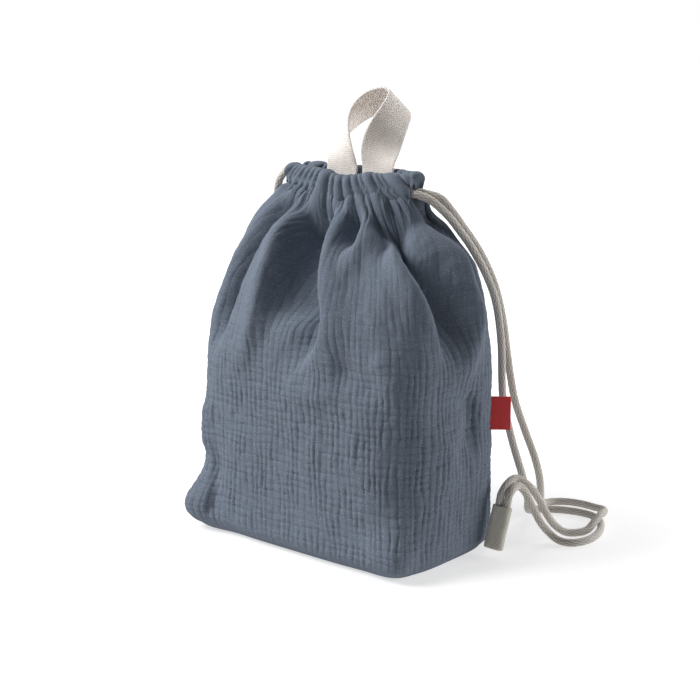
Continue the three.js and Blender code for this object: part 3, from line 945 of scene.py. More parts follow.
FRONT_FOLDS = (
    Fold(VALLEY, ((-0.2, 285), (-0.192, 255), (-0.186, 220), (-0.182, 180)), 3, 14, 12, 0.4),
    Fold(VALLEY, ((-0.155, 288), (-0.147, 272), (-0.142, 255), (-0.138, 240), (-0.136, 220), (-0.138, 195),
                  (-0.145, 165), (-0.153, 138)), 26, 8, 9, 0.02, 0.4),
    Fold(RIDGE, ((-0.1, 288), (-0.083, 274), (-0.071, 257), (-0.061, 242), (-0.057, 222), (-0.058, 198),
                 (-0.068, 173), (-0.083, 150), (-0.095, 128)), 15, 11, 8, 0.02, 0.55),
    Fold(VALLEY, ((-0.05, 288), (-0.036, 274), (-0.028, 255), (-0.027, 235), (-0.03, 214), (-0.036, 195),
                  (-0.045, 172)), 9, 9, 15, 0.02, 0.6),
    Fold(VALLEY, ((-0.016, 286), (0.0, 271), (0.012, 253), (0.019, 235), (0.028, 216), (0.037, 201),
                  (0.03, 185), (0.01, 168)), 34, 26, 5.5, 0.02, 0.5),
    Fold(VALLEY, ((0.026, 216), (0.034, 202), (0.032, 187), (0.018, 170), (-0.004, 150)),
         10, 13, 4, 0.3, 0.45, 1.3),
    Fold(RIDGE, ((0.024, 284), (0.036, 268), (0.044, 240), (0.052, 214), (0.057, 196), (0.048, 178),
                 (0.02, 152)), 11, 7, 16, 0.02, 0.35),
    Fold(VALLEY, ((0.068, 289), (0.07, 270), (0.074, 250)), 18, 6, 6, 0.02, 0.5, 1.2),
    Fold(RIDGE, ((0.1, 290), (0.094, 272), (0.084, 246), (0.078, 225)), 5, 6, 7),
    Fold(RIDGE, ((0.115, 290), (0.119, 276), (0.119, 252)), 4, 6, 7),
    Fold(VALLEY, ((0.122, 290), (0.132, 276), (0.14, 262), (0.144, 246)), 16, 6, 6, 0.02, 0.5),
    Fold(RIDGE, ((0.126, 289), (0.144, 276), (0.162, 256), (0.181, 236), (0.195, 218), (0.205, 202),
                 (0.211, 182)), 8, 11, 7),
    Fold(VALLEY, ((0.156, 289), (0.176, 270), (0.194, 250), (0.21, 232), (0.224, 214), (0.232, 196),
                  (0.228, 178), (0.208, 163)), 30, 9, 28, 0.02, 0.45, 1.0),
    Fold(RIDGE, ((0.235, 289), (0.258, 265), (0.273, 249), (0.276, 230), (0.282, 206), (0.266, 176),
                 (0.236, 156), (0.205, 142)), 15, 13, 11, 0.35, 0.4),
    Fold(VALLEY, ((0.272, 289), (0.3, 255), (0.312, 230), (0.32, 196), (0.317, 170)), 11, 8, 8),
    Fold(RIDGE, ((0.318, 262), (0.336, 228), (0.342, 196), (0.338, 166)), 6, 10, 12, 0.3),
)

BACK_FOLDS = (
    Fold(VALLEY, ((0.345, 289), (0.36, 260), (0.37, 228), (0.372, 196)), 9, 8, 9),
    Fold(RIDGE, ((0.385, 289), (0.395, 258), (0.4, 222), (0.395, 180)), 7, 10, 12),
    Fold(VALLEY, ((0.42, 289), (0.43, 262), (0.432, 232), (0.44, 204)), 14, 9, 9),
    Fold(RIDGE, ((0.455, 289), (0.465, 256), (0.473, 220), (0.475, 176)), 8, 12, 12),
    Fold(VALLEY, ((0.495, 289), (0.502, 260), (0.51, 228), (0.514, 190)), 13, 9, 11),
    Fold(RIDGE, ((0.535, 289), (0.542, 258), (0.548, 220), (0.553, 182)), 8, 11, 12),
    Fold(VALLEY, ((0.58, 289), (0.58, 262), (0.586, 230), (0.582, 200)), 14, 9, 9),
    Fold(RIDGE, ((0.62, 289), (0.62, 256), (0.616, 222), (0.617, 184)), 7, 11, 11),
    Fold(VALLEY, ((0.662, 289), (0.655, 260), (0.65, 228), (0.652, 198)), 11, 8, 9),
    Fold(RIDGE, ((0.7, 289), (0.69, 258), (0.684, 222), (0.682, 186)), 7, 11, 12),
    Fold(VALLEY, ((0.745, 289), (0.735, 260), (0.727, 226), (0.728, 192)), 11, 8, 9),
    Fold(RIDGE, ((0.778, 289), (0.77, 258), (0.762, 222), (0.768, 180)), 5, 11, 11),
)

SLACK_FOLDS = (
    Fold(VALLEY, ((0.158, 150), (0.158, 100), (0.16, 52), (0.16, 8)), 4, 22, 22, 0.3, 0.1, 1.0),
    Fold(VALLEY, ((-0.135, 76), (-0.128, 54), (-0.122, 34), (-0.124, 12)), 4, 5, 8, 0.3, 0.2, 1.0),
    Fold(RIDGE, ((-0.15, 120), (-0.152, 90), (-0.15, 62)), 5, 14, 14, 0.3, 0.3, 1.0),
    Fold(VALLEY, ((0.06, 168), (0.1, 158), (0.135, 140)), 4, 11, 13, 0.3, 0.4, 1.0),
    Fold(RIDGE, ((-0.02, 146), (0.03, 140), (0.08, 138)), 3, 12, 12, 0.3, 0.4, 1.0),
    Fold(VALLEY, ((0.262, 144), (0.276, 122), (0.274, 84)), 6, 13, 7, 0.3, 0.3, 1.0),
    Fold(RIDGE, ((0.125, 184), (0.145, 165), (0.165, 150)), 4, 11, 11, 0.3, 0.4, 1.0),
    Fold(RIDGE, ((0.225, 120), (0.23, 90), (0.225, 60)), 3, 16, 16, 0.3, 0.3, 1.0),
    Fold(RIDGE, ((0.1, 30), (0.15, 22), (0.2, 26)), 3, 12, 12, 0.3, 0.3, 1.0),
)


@dataclass(frozen=True)
class Gathers:
    """The small pleats that the drawcords push the mouth into, by their creases' places in mm."""

    creases: tuple[float, ...] = (-75, -62, -55.5, -50, -42, -35, -28.6, -21.8, -9, -3, 6, 15.3, 22.7, 27.4,
                                  38.6, 44.3, 49, 66, 75)
    slant: float = 0.2
    usual: float = 8 * MM
    roundness: float = 0.6
    least_rise: float = 0.6
    most_rise: float = 1.4

    def lobe(self, x: Array) -> Array:
        """Returns the pleats' rise along the front casing.

        Args:
            x: Places along the casing, in metres.

        Returns:
            The rise at each place: 0 in a crease and about 1 on a crown.
        """
        creases = np.array(self.creases) * MM
        number = np.clip(np.searchsorted(creases, x) - 1, 0, len(creases) - 2)
        width = creases[number + 1] - creases[number]
        share = np.clip((x - creases[number]) / width, 0, 1)
        rise = np.clip(width / self.usual, self.least_rise, self.most_rise)
        return (4 * share * (1 - share)) ** self.roundness * rise


GATHERS = Gathers()


@dataclass
class Casings:
    """The hems that the drawcords run in: two gathered tubes along the mouth."""

    form: BagForm
    tall: float = 21 * MM
    thick: float = 11 * MM
    half_length: float = 62 * MM
    end_spacing: float = 13.4 * MM
    wall: float = 2.2 * MM
    gap: float = 0.3 * MM
    bow_inset: float = 2.2 * MM
    gather_depth: float = 3.8 * MM
    gathered_length: float = 2.2
    crown_share: float = 0.62
    top_pleat_share: float = 0.3
    top_squareness: float = 0.75
    foot_squareness: float = 0.45
    along_step: float = 0.7 * MM
    around: int = 72
    cord_spacing: float = 9.6 * MM
    cord_hole: float = 3.3 * MM
    end_wall: float = 4 * MM
    end_round: float = 2.4 * MM
    end_taper: float = 6 * MM
    front_overlap: float = 2 * MM
    back_overlap: float = -1 * MM
    foot_rise: float = 0.6
    foot_rise_range: Range = (0.1, 0.95)
    foot_sway: float = 0.3
    foot_wave: float = 4.5 * MM
    foot_beat: float = 0.37
    foot_tuck: float = 0.3 * MM
    dip_place: float = 3 * MM
    dip_reach: float = 17 * MM
    dip_depth: float = 4.2 * MM
    back_dip_share: float = 0.3
    foot_dip_share: float = 0.5
    droop_place: float = -3 * MM
    droop_reach: float = 8 * MM
    droop_depth: float = 7 * MM

    def middle(self) -> float:
        """Returns the height of the casings' middle."""
        return self.form.height + self.gap + self.tall / 2

    def line(self, side: Side, x: Array, z: float) -> Array:
        """Returns points on a casing's middle line.

        Args:
            side: Which casing.
            x: Places along it.
            z: The points' height.

        Returns:
            One point for each place.
        """
        share = (x / self.half_length) ** 2
        out = mix(self.form.mouth_depth / 2 - self.bow_inset, self.end_spacing / 2, share)
        return np.stack([x, self.form.mouth_shift + side.value * out, np.full_like(x, z)], axis=-1)

    def outward(self, side: Side, x: Array) -> Array:
        """Returns the level direction out of a casing's face at places along it."""
        ahead = self.line(side, x + self.gap, 0.0) - self.line(side, x, 0.0)
        return side.value * np.cross(UP, unit(ahead))

    def dip(self, side: Side, x: Array) -> Array:
        """Returns how far a casing's top hangs down in front of the handle."""
        depth = self.dip_depth if side is Side.FRONT else self.back_dip_share * self.dip_depth
        return depth * bell((x - self.dip_place) / self.dip_reach)

    def droop(self, side: Side, x: Array) -> Array:
        """Returns how far the slack lobe above the deepest fold hangs below the front casing."""
        depth = self.droop_depth if side is Side.FRONT else 0.0
        return depth * bell((x - self.droop_place) / self.droop_reach)

    def lobes(self, side: Side, x: Array, rise: Array | float) -> Array:
        """Returns how far the pleats stand out at places along a casing and up its section, from -1 to 1."""
        place = -side.value * x * (1 + GATHERS.slant * rise)
        return GATHERS.lobe(place) - self.crown_share

    def tube(self, side: Side, x: Array, angle: Array, inset: Array, pleats: float) -> Array:
        """Returns points on the casing's section at places along it.

        Args:
            side: Which casing.
            x: Places along the casing.
            angle: Turns round the section, from the outward side by way of the top: points by one, or by
                places.
            inset: How far inside the outer face each ring lies.
            pleats: How far the pleats stand.

        Returns:
            Section points by places by three.
        """
        squareness = np.where(np.sin(angle) > 0, self.top_squareness, self.foot_squareness)
        rise = signed_power(np.sin(angle), squareness)
        lobe = self.lobes(side, x[None, :], rise)
        reach = (self.thick / 2 - inset + pleats * lobe) * signed_power(np.cos(angle), squareness)
        up = (self.tall / 2 - inset + self.top_pleat_share * pleats * lobe * (rise > 0)) * rise
        up = up - self.dip(side, x)[None, :] * mix(self.foot_dip_share, 1.0, (rise + 1) / 2)
        up = up + self.droop(side, x)[None, :] * np.minimum(rise, 0)
        middle = self.line(side, x, self.middle())
        return middle[None] + self.outward(side, x)[None] * reach[..., None] + UP * up[..., None]

    def foot_edge(self, side: Side, x: Array) -> Array:
        """Returns points low on a casing's outer face, which the panel's top runs into.

        Args:
            side: Which casing.
            x: Places along it.

        Returns:
            One point for each place.
        """
        sway = np.sin(x / self.foot_wave) * np.sin(self.foot_beat * x / self.foot_wave + 1)
        rise = np.clip(self.foot_rise + self.foot_sway * sway, *self.foot_rise_range)
        angle = -np.arcsin(rise ** (1 / self.foot_squareness))
        return self.tube(side, x, angle[None, :], np.full(len(x), self.foot_tuck), self.gather_depth)[0]

    def hole(self, side: Side, x: Array, angle: Array) -> Array:
        """Returns rings close round the strand that leaves each end of a casing.

        Args:
            side: Which casing.
            x: Places along it; the strand lies low at the right end and high at the left one.
            angle: Turns round the strand, from the outward side by way of the top: points by one.

        Returns:
            Ring points by places by three.
        """
        height = self.middle() - np.sign(x) * self.cord_spacing / 2
        middle = self.line(side, x, 0.0) + UP * height[:, None]
        turn = angle[..., None]
        way = self.outward(side, x)[None] * np.cos(turn) + UP * np.sin(turn)
        return middle[None] + self.cord_hole * way

    def build(self, dresser: Dresser) -> None:
        """Makes and dresses both casings.

        Args:
            dresser: What dresses them.
        """
        angle = np.linspace(0, 2 * np.pi, self.around, endpoint=False)[:, None]
        girth = np.linspace(0, 2 * (self.tall + self.thick), self.around + 1)
        for side in Side:
            half = self.half_length + (self.front_overlap if side is Side.FRONT else self.back_overlap)
            count = round(2 * half / self.along_step)
            x = np.linspace(-half, half, count)
            bore_x = x[::-1]
            to_end = np.clip(1 - (half - np.abs(x)) / self.end_taper, 0, 1)
            rounding = self.end_round * (1 - np.sqrt(1 - to_end**2))
            outer = self.tube(side, x, angle, rounding, self.gather_depth)
            bore = self.tube(side, bore_x, angle, np.full(count, self.wall), 0.0)
            closing = ease(half - self.end_wall, half, np.abs(bore_x))
            bore = mix(bore, self.hole(side, bore_x, angle), closing[None, :, None])
            points = np.concatenate([outer, bore], axis=1)
            grain = spread(closed(np.concatenate([x, bore_x])) * self.gathered_length, girth)
            order = side.value
            name = f"{side.name.lower()}_casing"
            piece = grid_object(f"{name}_cloth", points[::order], grain[::order], wrap_columns=True,
                                wrap_rows=True, crinkle=GAUZE.uncreased(grain))
            dresser.dress(piece, GAUZE, nodes=(name,))


WRINKLES = (Ripple(38 * MM, 55 * MM), Ripple(16 * MM, 30 * MM, 0.5, (40, 70)))
SIDEWAYS_SWAY = (Ripple(17 * MM, 48 * MM, 4.2 * MM), Ripple(6 * MM, 16 * MM, 1.5 * MM, (10, 10)))
UPWARD_SWAY = (Ripple(48 * MM, 17 * MM, 4.2 * MM, (50, 50)), Ripple(16 * MM, 6 * MM, 1.5 * MM, (80, 80)))
COLUMN_PATCHES = Ripple(11 * MM, 22 * MM, 1.4, (5, 5))
ROW_PATCHES = Ripple(22 * MM, 11 * MM, 1.4, (95, 95))
PUFFS = Ripple(7 * MM, 9 * MM, 0.35, (30, 30))


@dataclass
class BagShell:
    """The bag's cloth: front and back panels that meet in side seams, a base, and a lining inside them."""

    form: BagForm
    casings: Casings
    cloth_step: float = 1.05 * MM
    lining_step: float = 3.0 * MM
    lining_inset: float = 3.4 * MM
    profile_share: float = 1.22
    pleat_depth: float = 4.0 * MM
    pleat_reach: float = 24 * MM
    pleat_fall: float = 1.3
    pleat_variety: float = 0.7
    pleat_patches: int = 40
    fold_onset: float = 26 * MM
    ridge_onset: float = 48 * MM
    onset_lead: float = 4 * MM
    fold_blend: float = 4 * MM
    fold_turn: float = 1.5 * MM
    fold_limit: float = 2.6
    fold_end: float = 0.001
    fold_height_unit: float = 100.0
    fold_samples: int = 12
    neck_depth: float = 8 * MM
    neck_reach: float = 22 * MM
    neck_middle: float = 0.04
    neck_share: float = 0.11
    neck_fade: float = 1.8
    tuck_reach: float = 11 * MM
    settle_reach: float = 14 * MM
    base_tuck: float = 2 * MM
    base_overlap: float = 1 * MM
    base_rings: int = 12
    slack_drop: float = 40 * MM
    slack_rise: float = 25 * MM
    wrinkle_depth: float = 2.0 * MM
    crinkle_depth: float = 1.6 * MM
    crinkle_sharpness: float = 0.45
    crinkle_middle: float = 0.8
    crinkle_fade: Range = (90 * MM, 190 * MM)
    upright_least: float = 0.2
    level_share: float = 0.6
    patch_middle: float = 0.55
    patch_least: float = 0.15
    seam_depth: float = 1.4 * MM
    seam_reach: float = 1.8 * MM
    cord_room: float = 3.6 * MM
    cord_marks: int = 320
    seed: int = 11

    def __post_init__(self) -> None:
        """Sets up the noise that wrinkles the cloth, and the fold lines."""
        self.wrinkles, self.crinkles = Grain(self.seed), Grain(self.seed + 1)
        folds = (*FRONT_FOLDS, *BACK_FOLDS, *SLACK_FOLDS)
        self.fold_lines = [(fold, *self.fold_line(fold)) for fold in folds]

    def fold_line(self, fold: Fold) -> tuple[Array, Array]:
        """Returns a fold's line on the smooth form.

        Args:
            fold: The fold.

        Returns:
            The line's points, and the direction across it at each of them.
        """
        marks = np.array([(share, z / self.fold_height_unit, 0.0) for share, z in fold.line])
        places = smooth_route(marks, self.fold_samples)
        heights = np.minimum(places[:, 1] * self.fold_height_unit * MM, self.form.height)
        points = np.array([self.form.row(z, share[None])[0] for z, share in zip(heights, places[:, 0])])
        return points, np.cross(unit(points * LEVEL), unit(np.gradient(points, axis=0)))

    def fold_lift(self, fold: Fold, line: Array, across: Array, places: Array) -> Array:
        """Returns how far one fold lifts places near it.

        Args:
            fold: The fold.
            line: The points of its line.
            across: The direction across the line at each of them.
            places: Points of the smooth form.

        Returns:
            The lift of each place.
        """
        away = np.sqrt(((places[:, None] - line) ** 2).sum(axis=2))
        nearest = away.min(axis=1)
        weight = np.exp((nearest[:, None] - away) / self.fold_blend)
        weight = weight / weight.sum(axis=1, keepdims=True)
        share = weight @ np.linspace(0, 1, len(line))
        offset = (weight * (places @ across.T - (line * across).sum(axis=1))).sum(axis=1)
        turn = ease(-self.fold_turn, self.fold_turn, offset)
        width = mix(fold.left, fold.right, turn) * MM * mix(1.0, fold.widen, share)
        strength = ease(-self.fold_end, fold.fade_in, share)
        strength = strength * (1 - ease(1 - fold.fade_out, 1 + self.fold_end, share))
        return fold.kind.value * fold.depth * MM * strength * bell(nearest / width)

    def folded(self, points: Array, kind: FoldKind) -> Array:
        """Returns how far the folds of a kind lift the smooth form.

        Args:
            points: Points of the smooth form.
            kind: The kind of fold.

        Returns:
            The lift of each point.
        """
        lift = np.zeros(points.shape[:-1])
        for fold, line, across in self.fold_lines:
            if fold.kind is kind:
                reach = self.fold_limit * max(fold.left, fold.right) * fold.widen * MM
                low, high = line.min(axis=0) - reach, line.max(axis=0) + reach
                near = np.all((points > low) & (points < high), axis=-1)
                lift[near] += self.fold_lift(fold, line, across, points[near])
        return lift

    def necked(self, shares: Array, drop: Array) -> Array:
        """Returns how far the cloth hangs in below the casings, at the front and back and not at the sides.

        Args:
            shares: The share of the way round at each point.
            drop: How far below the casing each point lies.

        Returns:
            The depth at each point.
        """
        from_front = np.abs(np.mod(shares - self.neck_middle + 0.5, 1.0) - 0.5)
        from_face = np.minimum(from_front, 0.5 - from_front)
        depth = self.neck_depth * (1 - ease(self.neck_share, self.neck_fade * self.neck_share, from_face))
        return depth * drop / self.neck_reach * np.exp(1 - drop / self.neck_reach)

    def casing_places(self, mouth: Array) -> Array:
        """Returns the places along the casings of points of the mouth's ring."""
        return mouth[..., 0] * 2 * self.casings.half_length / self.form.mouth_width

    def pleated(self, shares: Array, drop: Array) -> Array:
        """Returns how far the mouth's pleats lift the cloth.

        Args:
            shares: The share of the way round at each point.
            drop: How far below the casing each point lies.

        Returns:
            The lift of each point.
        """
        mouth = self.form.row(self.form.height, shares.ravel()).reshape(*shares.shape, 3)
        x = self.casing_places(mouth)
        front, back = (self.casings.lobes(side, x, -1.0) for side in Side)
        lobe = np.where(mouth[..., 1] < self.form.mouth_shift, front, back)
        variety = self.wrinkles.at(shares * self.pleat_patches, np.full_like(shares, 0.5))
        reach = self.pleat_reach * (1 + self.pleat_variety * variety)
        return self.pleat_depth * lobe * np.exp(-((drop / reach) ** self.pleat_fall))

    def tucked(self, shares: Array) -> Array:
        """Returns where a panel's top edge lies on the casings' faces.

        Args:
            shares: Shares of the way round the bag.

        Returns:
            One point for each share.
        """
        mouth = self.form.row(self.form.height, shares)
        x = self.casing_places(mouth)
        front, back = (self.casings.foot_edge(side, x) for side in Side)
        return np.where(mouth[:, 1:2] < self.form.mouth_shift, front, back)

    def skin(self, shares: Array, heights: Array, fine: bool) -> tuple[Array, Array, Array]:
        """Lays the cloth over the smooth form.

        Args:
            shares: Rows by columns, the share of the way round at each point.
            heights: The height of each row.
            fine: Whether to crinkle the cloth as well as fold it.

        Returns:
            The points, each point's place in the cloth's own plane, and its place in the crinkles' plane.
        """
        smooth = np.array([self.form.row(z, row) for z, row in zip(heights, shares)])
        middle = shares.shape[1] // 2
        length = np.stack([arc_lengths(smooth[:, column]) for column in (0, middle, -1)]).mean(axis=0)
        length = np.broadcast_to(length[:, None], shares.shape)
        drop = length[-1] - length
        grain = np.stack([shares * self.form.cloth_width, length], axis=-1)
        settled = ease(0, self.settle_reach, smooth[..., 2] - heights[0])
        valleys = self.folded(smooth, VALLEY) * ease(-self.onset_lead, self.fold_onset, drop)
        ridges = self.folded(smooth, RIDGE) * ease(-self.onset_lead, self.ridge_onset, drop)
        slack = ease(0, self.slack_drop, drop) * ease(0, self.slack_rise, smooth[..., 2])
        wrinkle = sum(ripple.at(self.wrinkles, grain) for ripple in WRINKLES)
        lift = (valleys + ridges) * settled - self.necked(shares, drop) + self.pleated(shares, drop)
        lift = lift + self.wrinkle_depth * slack * wrinkle
        points = smooth + grid_normals(smooth) * lift[..., None]
        tuck = bell(drop / self.tuck_reach)
        points = points + (self.tucked(shares[-1]) - points[-1])[None] * tuck[..., None]
        crinkle = self.swayed(grain)
        if fine:
            rise = self.crinkled(grain, crinkle, drop) * settled
            points = points + grid_normals(points) * rise[..., None]
        return points, grain, crinkle

    def swayed(self, grain: Array) -> Array:
        """Moves places in the cloth's plane about, so that straight ribs in the new plane wander.

        Args:
            grain: The places.

        Returns:
            The moved places.
        """
        sways = [sum(ripple.at(self.wrinkles, grain) for ripple in ripples)
                 for ripples in (SIDEWAYS_SWAY, UPWARD_SWAY)]
        return grain + np.stack(sways, axis=-1)

    def crinkled(self, grain: Array, crinkle: Array, drop: Array) -> Array:
        """Returns the lift of the gauze's crinkles: soft ribs with narrow creases between them both ways.

        Args:
            grain: Each point's place in the cloth's own plane.
            crinkle: Its place in the crinkles' plane.
            drop: How far below the casing it lies.

        Returns:
            The lift of each point.
        """
        ribs = np.abs(np.sin(np.pi * crinkle / [GAUZE.rib_pitch, GAUZE.row_pitch])) ** self.crinkle_sharpness
        upright, level = np.moveaxis(ribs - self.crinkle_middle, -1, 0)
        columns, rows = (np.clip(self.patch_middle + patches.at(self.wrinkles, grain), self.patch_least, 1)
                         for patches in (COLUMN_PATCHES, ROW_PATCHES))
        low = ease(*self.crinkle_fade, drop)
        weave = upright * columns * mix(self.upright_least, 1.0, low) + self.level_share * level * rows * low
        return self.crinkle_depth * (weave + PUFFS.at(self.crinkles, grain))

    def clear_cords(self, points: Array, normals: Array, cords: list[Array]) -> Array:
        """Presses the cloth in wherever a cord lies against it.

        Args:
            points: The cloth's points.
            normals: The normal at each point.
            cords: The cords' centrelines.

        Returns:
            The cloth's new points.
        """
        room = 2 * self.cord_room
        for line in cords:
            close = np.all((points > line.min(axis=0) - room) & (points < line.max(axis=0) + room), axis=-1)
            place, inward = points[close], normals[close]
            for mark in line:
                gap = np.linalg.norm(place - mark, axis=-1)
                place = place - inward * np.maximum(self.cord_room - gap, 0)[:, None]
            points[close] = place
        return points

    def panel(self, name: str, side: Side, step: float, inset: float, fine: bool,
              cords: list[Array]) -> bpy.types.Object:
        """Makes one panel between the side seams.

        Args:
            name: The piece's name.
            side: The side of the bag that it covers.
            step: How far apart its points lie.
            inset: How far inside the outer face it lies.
            fine: Whether it is crinkled.
            cords: The cords' centrelines, which press into it.

        Returns:
            The panel.
        """
        bottom = self.form.base_seam + inset
        rows = round(self.profile_share * (self.form.height - bottom) / step)
        heights = self.form.heights(bottom, self.form.height, rows)
        right, left = np.array([self.form.seam_shares(z) for z in heights]).T
        first, last = (right, left) if side is Side.BACK else (left - 1, right)
        span = float((last - first).mean()) * self.form.cloth_width
        columns = np.linspace(0, 1, round(span / step))
        shares = mix(first[:, None], last[:, None], columns[None, :])
        points, grain, crinkle = self.skin(shares, heights, fine)
        normals = grid_normals(points)
        to_edge = np.minimum(columns, 1 - columns)[None, :] * (last - first)[:, None] * self.form.cloth_width
        to_base = (heights - bottom)[:, None]
        groove = np.maximum(bell(to_edge / self.seam_reach), bell(to_base / self.seam_reach) / 2)
        points = points - normals * (self.seam_depth * groove + inset)[..., None]
        points = self.clear_cords(points, normals, cords)
        return grid_object(name, points, grain, crinkle=crinkle)

    def base(self, name: str, step: float, inset: float) -> bpy.types.Object:
        """Makes the base: the round below the base seam and the flat that the bag stands on.

        Args:
            name: The piece's name.
            step: How far apart its points lie.
            inset: How far inside the outer face it lies.

        Returns:
            The base.
        """
        columns = round(self.form.cloth_width / step)
        shares = np.arange(columns) / columns
        seam = self.form.base_seam
        heights = np.linspace(seam + self.base_tuck, 0, self.base_rings)
        tucked = self.seam_depth * ease(seam - self.base_tuck, seam + self.base_overlap, heights)
        rings = [self.form.row(z, shares) for z in heights]
        ring_count = round(self.form.base_depth / 2 / step / 2)
        rings += [rings[-1] * (1 - share) for share in np.linspace(0, 1, ring_count)[1:-1]]
        points = np.array(rings)
        points[..., 2] += inset
        points[..., :2] *= 1 - 2 * inset / self.form.base_depth
        points[:self.base_rings] -= unit(points[:self.base_rings] * LEVEL) * tucked[:, None, None]
        grain = np.concatenate([points, points[:, :1]], axis=1)[..., :2]
        return grid_object(name, points[::-1], grain[::-1], wrap_columns=True, crinkle=GAUZE.uncreased(grain))

    def build(self, dresser: Dresser, cords: list[Array]) -> None:
        """Makes and dresses the cloth and the lining.

        Args:
            dresser: What dresses them.
            cords: The cords' centrelines, which press into the cloth.
        """
        lines = [resample(line, self.cord_marks) for line in cords]
        step = self.cloth_step * 1
        for side in Side:
            word = side.name.lower()
            cloth = self.panel(f"{word}_panel_cloth", side, step, 0.0, True, lines)
            dresser.dress(cloth, GAUZE, nodes=(f"{word}_panel",))
            lining = self.panel(f"{word}_lining_cloth", side, self.lining_step, self.lining_inset, False, [])
            dresser.dress(lining, LINING, nodes=(f"{word}_lining",))
        base = self.base("base_panel_cloth", 2 * self.cloth_step, 0.0)
        dresser.dress(base, GAUZE, nodes=("base_panel",))
        base_lining = self.base("base_lining_cloth", self.lining_step, self.lining_inset)
        dresser.dress(base_lining, LINING, nodes=("base_lining",))


def mirrored(points: tuple[Point, ...]) -> tuple[Point, ...]:
    """Returns points of the bag's right side at its left side."""
    return tuple((-x, y, z) for x, y, z in points)


@dataclass(frozen=True)
class Strand:
    """A strand's way from its casing to its tab, in mm, and the slot of the tab that it ends in."""

    node: str
    hand: Hand
    side: Side
    slot: int
    route: tuple[Point, ...]


FRONT_LOOP: tuple[Point, ...] = (
    (104, 93, 82), (106, 108, 45.3), (102, 122, 22), (95, 133, 9.5), (91, 142, 4.4), (93, 150, 3.4),
    (101, 157, 3.4), (111, 163, 3.4), (124, 167, 3.4), (138, 167, 3.4), (151, 160, 3.4), (162, 145, 3.4),
    (169, 127, 3.4), (170, 109, 3.4), (163, 96, 3.4), (153, 93.5, 4), (145, 91.5, 9), (139.5, 86, 18.5),
    (135.5, 78, 35), (133.5, 70, 48.5), (131.5, 63, 54.5),
)
BACK_LOOP: tuple[Point, ...] = (
    (102, 99, 115), (106, 109, 87.5), (110, 120, 60), (109, 129, 41), (102, 142, 21), (94, 155, 9),
    (89.5, 166, 4.4), (92, 177, 3.4), (102, 185, 3.4), (116, 188.5, 3.4), (131, 186, 4), (145, 177, 7.2),
    (152, 165, 9.2), (155.5, 154, 10.8), (157.5, 142, 8.4), (157.5, 130, 4.2), (153.5, 121, 3.4),
    (147, 113, 4.6), (141.5, 105.5, 11), (139, 98, 20.5), (136.4, 88, 37), (132.5, 78, 51), (126, 67, 59),
)
STRANDS = (
    Strand("drawcord_right_front", Hand.RIGHT, Side.FRONT, 1, (
        (74.5, 14, 291.3), (80, 20, 284.8), (84, 28, 276.2), (86.7, 38, 264.8), (89.5, 48, 252.5),
        (94.8, 62, 229), (98.2, 72.5, 205), (100.2, 79, 170.5), (100.7, 81, 136), (100.7, 83.5, 118.5),
        *FRONT_LOOP,
    )),
    Strand("drawcord_right_back", Hand.RIGHT, Side.BACK, 0, (
        (76, 25, 291.8), (80.6, 35, 280.7), (83.4, 45, 268.5), (89.5, 62, 245), (95, 76, 216.3),
        (97.6, 85, 186), (98.8, 90, 159.6), (100.4, 93.5, 138),
        *BACK_LOOP,
    )),
    Strand("drawcord_left_front", Hand.LEFT, Side.FRONT, 1, (
        (-76, 4.5, 298), (-84, 9, 286.5), (-91, 17, 271), (-97, 28, 256), (-102, 43, 236), (-102.5, 60, 210),
        (-102, 72, 185), (-101.5, 79, 160), (-101, 82, 136), (-101, 84.5, 118.5),
        *mirrored(FRONT_LOOP),
    )),
    Strand("drawcord_left_back", Hand.LEFT, Side.BACK, 0, (
        (-77, 20, 297), (-86, 27, 284), (-93, 38, 266), (-97, 52, 246), (-99.5, 67, 222), (-100, 79, 196),
        (-99.5, 86.5, 174), (-99.2, 90.5, 157), (-100.4, 94, 138),
        *mirrored(BACK_LOOP),
    )),
)


